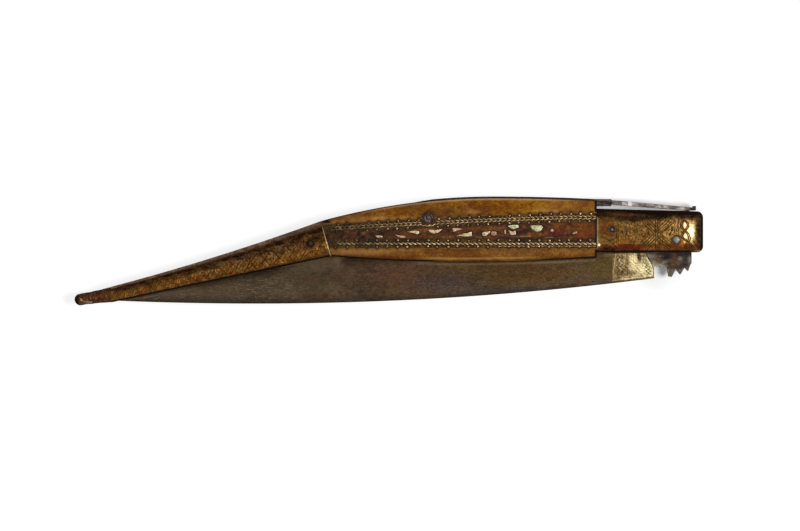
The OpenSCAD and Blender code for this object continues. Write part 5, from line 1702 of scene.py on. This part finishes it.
def cutting_edge(x):
    """Edge of the blade, hidden in the handle."""
    behind = np.maximum(0, EDGE_PEAK[0] - x) / (EDGE_PEAK[0] - X_POINT)
    rear = EDGE_PEAK[1] - (EDGE_PEAK[1] - EDGE_POINT_Y) * behind**EDGE_POWER
    return np.where(x < EDGE_PEAK[0], rear, bow(x, EDGE_PEAK, EDGE_ROOT))


def blade_half(x):
    """Half the blade's thickness at its thickest."""
    return straight(x, (ROOT_X, Z_BLADE), (X_POINT, POINT_T / 2)) - 0.004


def blade_height(x):
    """Height of the blade from its spine to its edge."""
    return cutting_edge(x) - spine(x)


def blade_run(x):
    """Share of the way from the root to the point."""
    return (ROOT_X - x) / (ROOT_X - X_POINT)


def spine_half(x):
    """Half the thickness of the spine, which is ground thinner towards the point."""
    return blade_half(x) - 1.25 * blade_run(x) ** 1.5 * blade_half(x) / Z_BLADE


def false_top(x):
    """Line where the ground spine meets the flat."""
    return spine(x) + np.minimum(0.3 * blade_height(x), 0.8 + 2.2 * unit(blade_run(x) / 0.4))


def ground(x):
    """How much of the bevel is ground, which begins in front of the root."""
    return fall(x, ROOT_X, PLUNGE)


def bevel_foot(x):
    """Line where the flat meets the bevel of the edge."""
    return cutting_edge(x) - 0.45 * blade_height(x) * ground(x) - 0.2


def bevel_half(x):
    """Half the thickness at the edge."""
    return blade_half(x) + (EDGE_HALF - blade_half(x)) * ground(x)


def blade_lines():
    """Lines along one side of the blade, from the middle of its spine to the middle of its edge."""
    side = [
        (spine, fixed(0.0)), (spine, lambda x: spine_half(x) - 0.16),
        (raised(spine, 0.05), lambda x: spine_half(x) - 0.04), (raised(spine, 0.16), spine_half),
        (false_top, blade_half),
    ]
    side += [(between(false_top, bevel_foot, i / FLAT_CELLS), blade_half) for i in range(1, FLAT_CELLS)]
    return side + [
        (bevel_foot, blade_half),
        (between(bevel_foot, cutting_edge, 0.5), between(blade_half, bevel_half, 0.5)),
        (cutting_edge, bevel_half), (cutting_edge, fixed(0.0)),
    ]


def everything(shell):
    """All the points, edges and faces of a shell."""
    return shell.verts[:] + shell.edges[:] + shell.faces[:]


def cut_finely(shell):
    """Cuts lines across the part of the tang that shows, so that its traits can change over a short way."""
    for axis, (low, high) in enumerate(TANG_VIEW):
        direction = np.eye(3)[axis]
        for at in np.arange(low, high, TANG_CELL):
            bmesh.ops.bisect_plane(shell, geom=everything(shell), dist=0.0001 * MM,
                                   plane_co=PIVOT + direction * at * MM, plane_no=direction)


def tang_shell():
    """The tang with its notch and teeth, cut from the frame's blade and softened along its edges. Its faces
    are sorted, so that they come in the same order in each run."""
    shell = bmesh.new()
    shell.from_mesh(frame["nodes"]["blade"].data)
    bmesh.ops.remove_doubles(shell, verts=shell.verts, dist=0.002 * MM)
    here = (PIVOT[0] + (ROOT_X - 0.2) * MM, PIVOT[1], PIVOT[2])
    bmesh.ops.bisect_plane(shell, geom=everything(shell), dist=0.0, plane_co=here, plane_no=(1, 0, 0),
                           clear_inner=True)
    bmesh.ops.holes_fill(shell, edges=[e for e in shell.edges if e.is_boundary], sides=0)
    bmesh.ops.dissolve_limit(shell, angle_limit=math.radians(2), verts=shell.verts, edges=shell.edges)
    hard = [e for e in shell.edges if e.is_manifold and e.calc_face_angle(0) > math.radians(30)]
    bmesh.ops.bevel(shell, geom=hard, offset=TANG_SOFT * MM, segments=2, profile=0.6, affect="EDGES",
                    clamp_overlap=True)
    cut_finely(shell)
    bmesh.ops.triangulate(shell, faces=[f for f in shell.faces if len(f.verts) > 4])
    shell.verts.ensure_lookup_table()
    shell.verts.index_update()
    points = (np.array([v.co[:] for v in shell.verts]) - PIVOT) / MM
    faces = sorted([v.index for v in f.verts] for f in shell.faces)
    shell.free()
    return points, faces


def blade_traits(x, y):
    """Dirt, wear and tints of the blade and tang, and painted shadow under the handle and bolster."""
    marks = all_patches(x, y, BLADE_PATCHES)
    tang = x > TANG_FROM
    out = y - spine(x)
    gap = np.where(x < X_KNEE, tail_foot(x), np.where(x < X_BOLSTER, horn_foot(x), BOLSTER_FOOT)) - y
    reach = np.interp(x, [X_KNEE - 70, X_KNEE - 28, X_KNEE + 12, X_KNEE + 50], [0.35, 0.55, 0.65, 0.4])
    # Painted shadow of the handle along the blade below it
    under = unit(1.15 - gap / reach) * ~tang
    rim = fall(out, 0.35, 0.25) * 0.7 * ~tang
    pale_line = crest(gap, 0.95, 0.4) * ~tang
    teeth = tang * rise(np.hypot(x, y), 11.0, 0.4) * blotches(x, y, 1.2, 81)
    return {
        "grime": unit(most(under * 0.95, rim, marks["stains"])),
        "worn": np.maximum(0.45 * pale_line, marks["paler"] * ~tang),
        "red": marks["red"],
        "gold": marks["gold"],
        "grey": marks["grey"],
        "olive": marks["olive"],
        "bright": most(teeth * 0.4, marks["pale_tang"] * tang, 0.15 * pale_line),
        "scuffed": unit(marks["scuffed"] + 0.14) * ~tang,
        "tang": rise(x, -13.0, 1.0),
    }


def make_blade():
    """Blade with its ground bevels, and the tang with its teeth."""
    plunge_x = ROOT_X - PLUNGE
    xs = np.concatenate([np.linspace(X_POINT, plunge_x, 330), np.linspace(plunge_x, ROOT_X, 16)[1:]])
    side = blade_lines()
    mirrored = [(y_of, lambda x, z_of=z_of: -z_of(x)) for y_of, z_of in side[1:-1]][::-1]
    points, faces = gathered([tube(sweep(xs, side + mirrored)), tang_shell()])
    traits = blade_traits(points[:, 0], points[:, 1])
    make_piece("forged_blade", (points, faces), "blade_steel", "blade", traits, body="folding_blade",
               sharp=25.0)


# Ricasso overlays: the engraved brass at the blade's root. Its end by the tang curves along OVERLAY_CURVE,
# and a slanting line parts its bare far end from the engraved part.

OVERLAY_NEAR = SPINE_CORNER[0] - 0.35
OVERLAY_FAR = OVERLAY_NEAR - 15.7
OVERLAY_CURVE = [(OVERLAY_NEAR - 3.6, -3.2), (OVERLAY_NEAR - 2.6, -6.4), (OVERLAY_NEAR - 1.0, -8.9),
                 (OVERLAY_NEAR, -11.4)]
OVERLAY_CELLS = 74
OVERLAY_RISE = 0.35
OVERLAY_SUNK = 0.29
OVERLAY_PROUD = 0.06
OVERLAY_CUT = 0.17
OVERLAY_CUT_DEPTH = 0.05
OVERLAY_WAVE = 0.015
SLANT = [(-22.9, -5.2), (-24.0, -13.0)]
# The glow patches paint a reflection and the shine patches paint highlights
OVERLAY_PATCHES = {
    "brown": [(-14.0, -6.4, 1.0, 2.8, 0.9), (-18.6, -8.5, 1.0, 4.0, 0.6), (-19.5, -12.4, 2.8, 1.8, 0.7),
              (-16.4, -12.6, 2.6, 1.0, 0.6), (-12.2, -6.0, 1.6, 0.9, 0.6), (-12.6, -8.6, 0.7, 1.4, 0.4)],
    "glow": [(-11.5, -10.6, 5.0, 4.2, 0.9), (-15.8, -8.6, 2.2, 3.6, 0.8)],
    "shine": [(-15.9, -8.4, 1.3, 2.8, 0.65), (-11.4, -11.6, 2.2, 1.8, 0.55), (-9.6, -13.0, 3, 0.8, 0.5)],
}


def overlay_top(x):
    """Upper end of the overlay."""
    return np.interp(x, *zip(*OVERLAY_CURVE))


def overlay_foot(x):
    """Lower edge of the overlay, just above the spine."""
    return spine(x) + OVERLAY_RISE


def overlay_waves():
    """Wavy engraved lines: one up the middle of the overlay and two along its curved end."""
    t = np.arange(-13.2, -5.6, 0.2)
    curve = np.array(OVERLAY_CURVE)[:0:-1]
    rim_x = np.interp(t, curve[:, 1], curve[:, 0])
    zigzag = np.column_stack([-21.4 + 0.5 * np.sin(t * 2.6), t])
    curls = np.column_stack([rim_x - 1.5 + 0.45 * np.sin(t * 4.6), t])
    more_curls = np.column_stack([rim_x - 2.3 + 0.4 * np.sin(t * 3.9 + 1), t])
    return zigzag, curls, more_curls


def overlay_traits(x, y, zigzag, grooves, seed):
    """Dirt, wear and tints of an overlay, with painted shadow, reflection and highlights."""
    marks = all_patches(x, y, OVERLAY_PATCHES)
    rim = np.minimum(overlay_top(x) - y, OVERLAY_NEAR - x)
    slant_x = straight(y, SLANT[0][::-1], SLANT[1][::-1])
    bare = fall(x, slant_x, 0.2)
    fade = fall(x, -19.6, 2.4) * (1 - bare)
    uneven = blotches(x, y, 2.6, seed + 2)
    fine = blotches(x, y, 1.1, seed + 3)
    # Painted shadow of the bolster along the top of the overlay
    under = unit(1.3 - (BOLSTER_FOOT - y) / 0.5)
    grime = most(grooves * 0.85, unit(1 - rim / 0.2) * 0.5, crest(y, overlay_foot(x) + 0.2, 0.22) * 0.85,
                 under, fade * 0.3 * uneven, marks["brown"] * (0.6 + 0.6 * fine), fine * 0.42 * (1 - bare))
    # Painted highlights: flashes along the zigzag, the slanting line, a line low down and the rim of the
    # curved end
    flashes = cut(x, y, [zigzag + (0.2, 0)], 0.5) * unit(np.sin(y * 2.2 + 1) + 0.7) * (y > -12) * 0.75
    line = cut(x, y, [SLANT], 0.2) * 0.75 + 0.45 * crest(y, overlay_foot(x) + 0.7, 0.2) * (1 - bare)
    steel_rim = unit(1 - rim / 0.7) * (y < -5.2) * 0.35
    bright = most(marks["shine"] * (0.55 + 0.6 * uneven), flashes, line, steel_rim)
    return {
        "grime": unit(grime),
        "worn": unit(marks["glow"] * (0.6 + 0.5 * blotches(x, y, 3.0, seed + 1))),
        "bright": unit(bright * (1 - grooves)),
        "warm": unit(0.4 - 0.4 * marks["glow"]) * (1 - bare),
        "gold": unit(bare + 0.5 * fade),
    }


def make_overlay(side, turn, seed):
    """Engraved brass sheet let into the root of the blade."""
    xs = np.append(np.arange(OVERLAY_FAR, OVERLAY_NEAR, 0.13), OVERLAY_NEAR)
    base = fixed(Z_BLADE - OVERLAY_SUNK)
    face = fixed(Z_BLADE + OVERLAY_PROUD)
    lines = [(between(overlay_foot, overlay_top, i / OVERLAY_CELLS), face) for i in range(OVERLAY_CELLS + 1)]
    rings = sweep(xs, [(overlay_foot, base)] + lines + [(overlay_top, base)])
    x, y = rings[..., 0], rings[..., 1]
    zigzag, curls, more_curls = overlay_waves()
    grooves = cut(x, y, [zigzag - (0.5, 0), zigzag + (0.8, 0), curls, more_curls], OVERLAY_CUT)
    waves = blotches(x, y, 9.0, seed)
    rings[..., 2] -= (OVERLAY_CUT_DEPTH * grooves + OVERLAY_WAVE * waves) * (rings[..., 2] > Z_BLADE)
    make_piece("engraved_ricasso_" + side, tube(rings), "overlay_brass", "ricasso_overlay_" + side,
               overlay_traits(x, y, zigzag, grooves, seed), turn, body="folding_blade")


# CAD nodes that stay as they are: the slot of each, and how wide its broken edges are

KEPT_NODES = {
    "liner_front": ("iron", 0.10), "liner_back": ("iron", 0.10), "tail_spacer": ("aged_brass", 0.08),
    "tail_core_front": ("dark_horn", 0.05), "tail_core_back": ("dark_horn", 0.05),
    "back_spring": ("spring_steel", 0.16),
}
WELD_GAP = 0.002
SHARPEST = 35


def dress_kept_nodes():
    """Finishes, and softly broken edges, for the plates, spacer, cores and spring."""
    for node, (slot, width) in KEPT_NODES.items():
        thing = frame["nodes"][node]
        thing.data.materials.clear()
        thing.data.materials.append(FINISHES[slot])
        weld = thing.modifiers.new("weld", "WELD")
        weld.merge_threshold = WELD_GAP * MM
        broken = thing.modifiers.new("broken_edge", "BEVEL")
        broken.width = width * MM
        broken.segments = 2
        broken.limit_method = "ANGLE"
        broken.angle_limit = math.radians(SHARPEST)


def main():
    """Makes everything, in the order in which a cutler would."""
    add_camera()
    add_world(*SKY)
    for name, lamp in LAMPS.items():
        add_lamp(name, *lamp)
    add_floor()
    dress_kept_nodes()
    for number, (side, turn) in enumerate(SIDES.items()):
        seed = 100 * (number + 1)
        studs = stud_places(seed + 1)
        make_bolster(side, turn, seed + 10)
        make_tail_sheet(side, turn, seed + 20)
        make_horn_scale(side, turn, seed + 30, studs)
        make_beds(side, turn, seed + 40, studs)
        make_studs(side, turn, seed + 50, studs)
        make_wires(side, turn, seed + 60)
        make_centre_strip(side, turn, seed + 70)
        make_chips(side, turn, seed + 80)
        make_overlay(side, turn, seed + 90)
    make_tail_tip()
    make_rosettes()
    make_rivets()
    make_blade()
    bpy.context.scene.view_settings.view_transform = "Standard"


main()
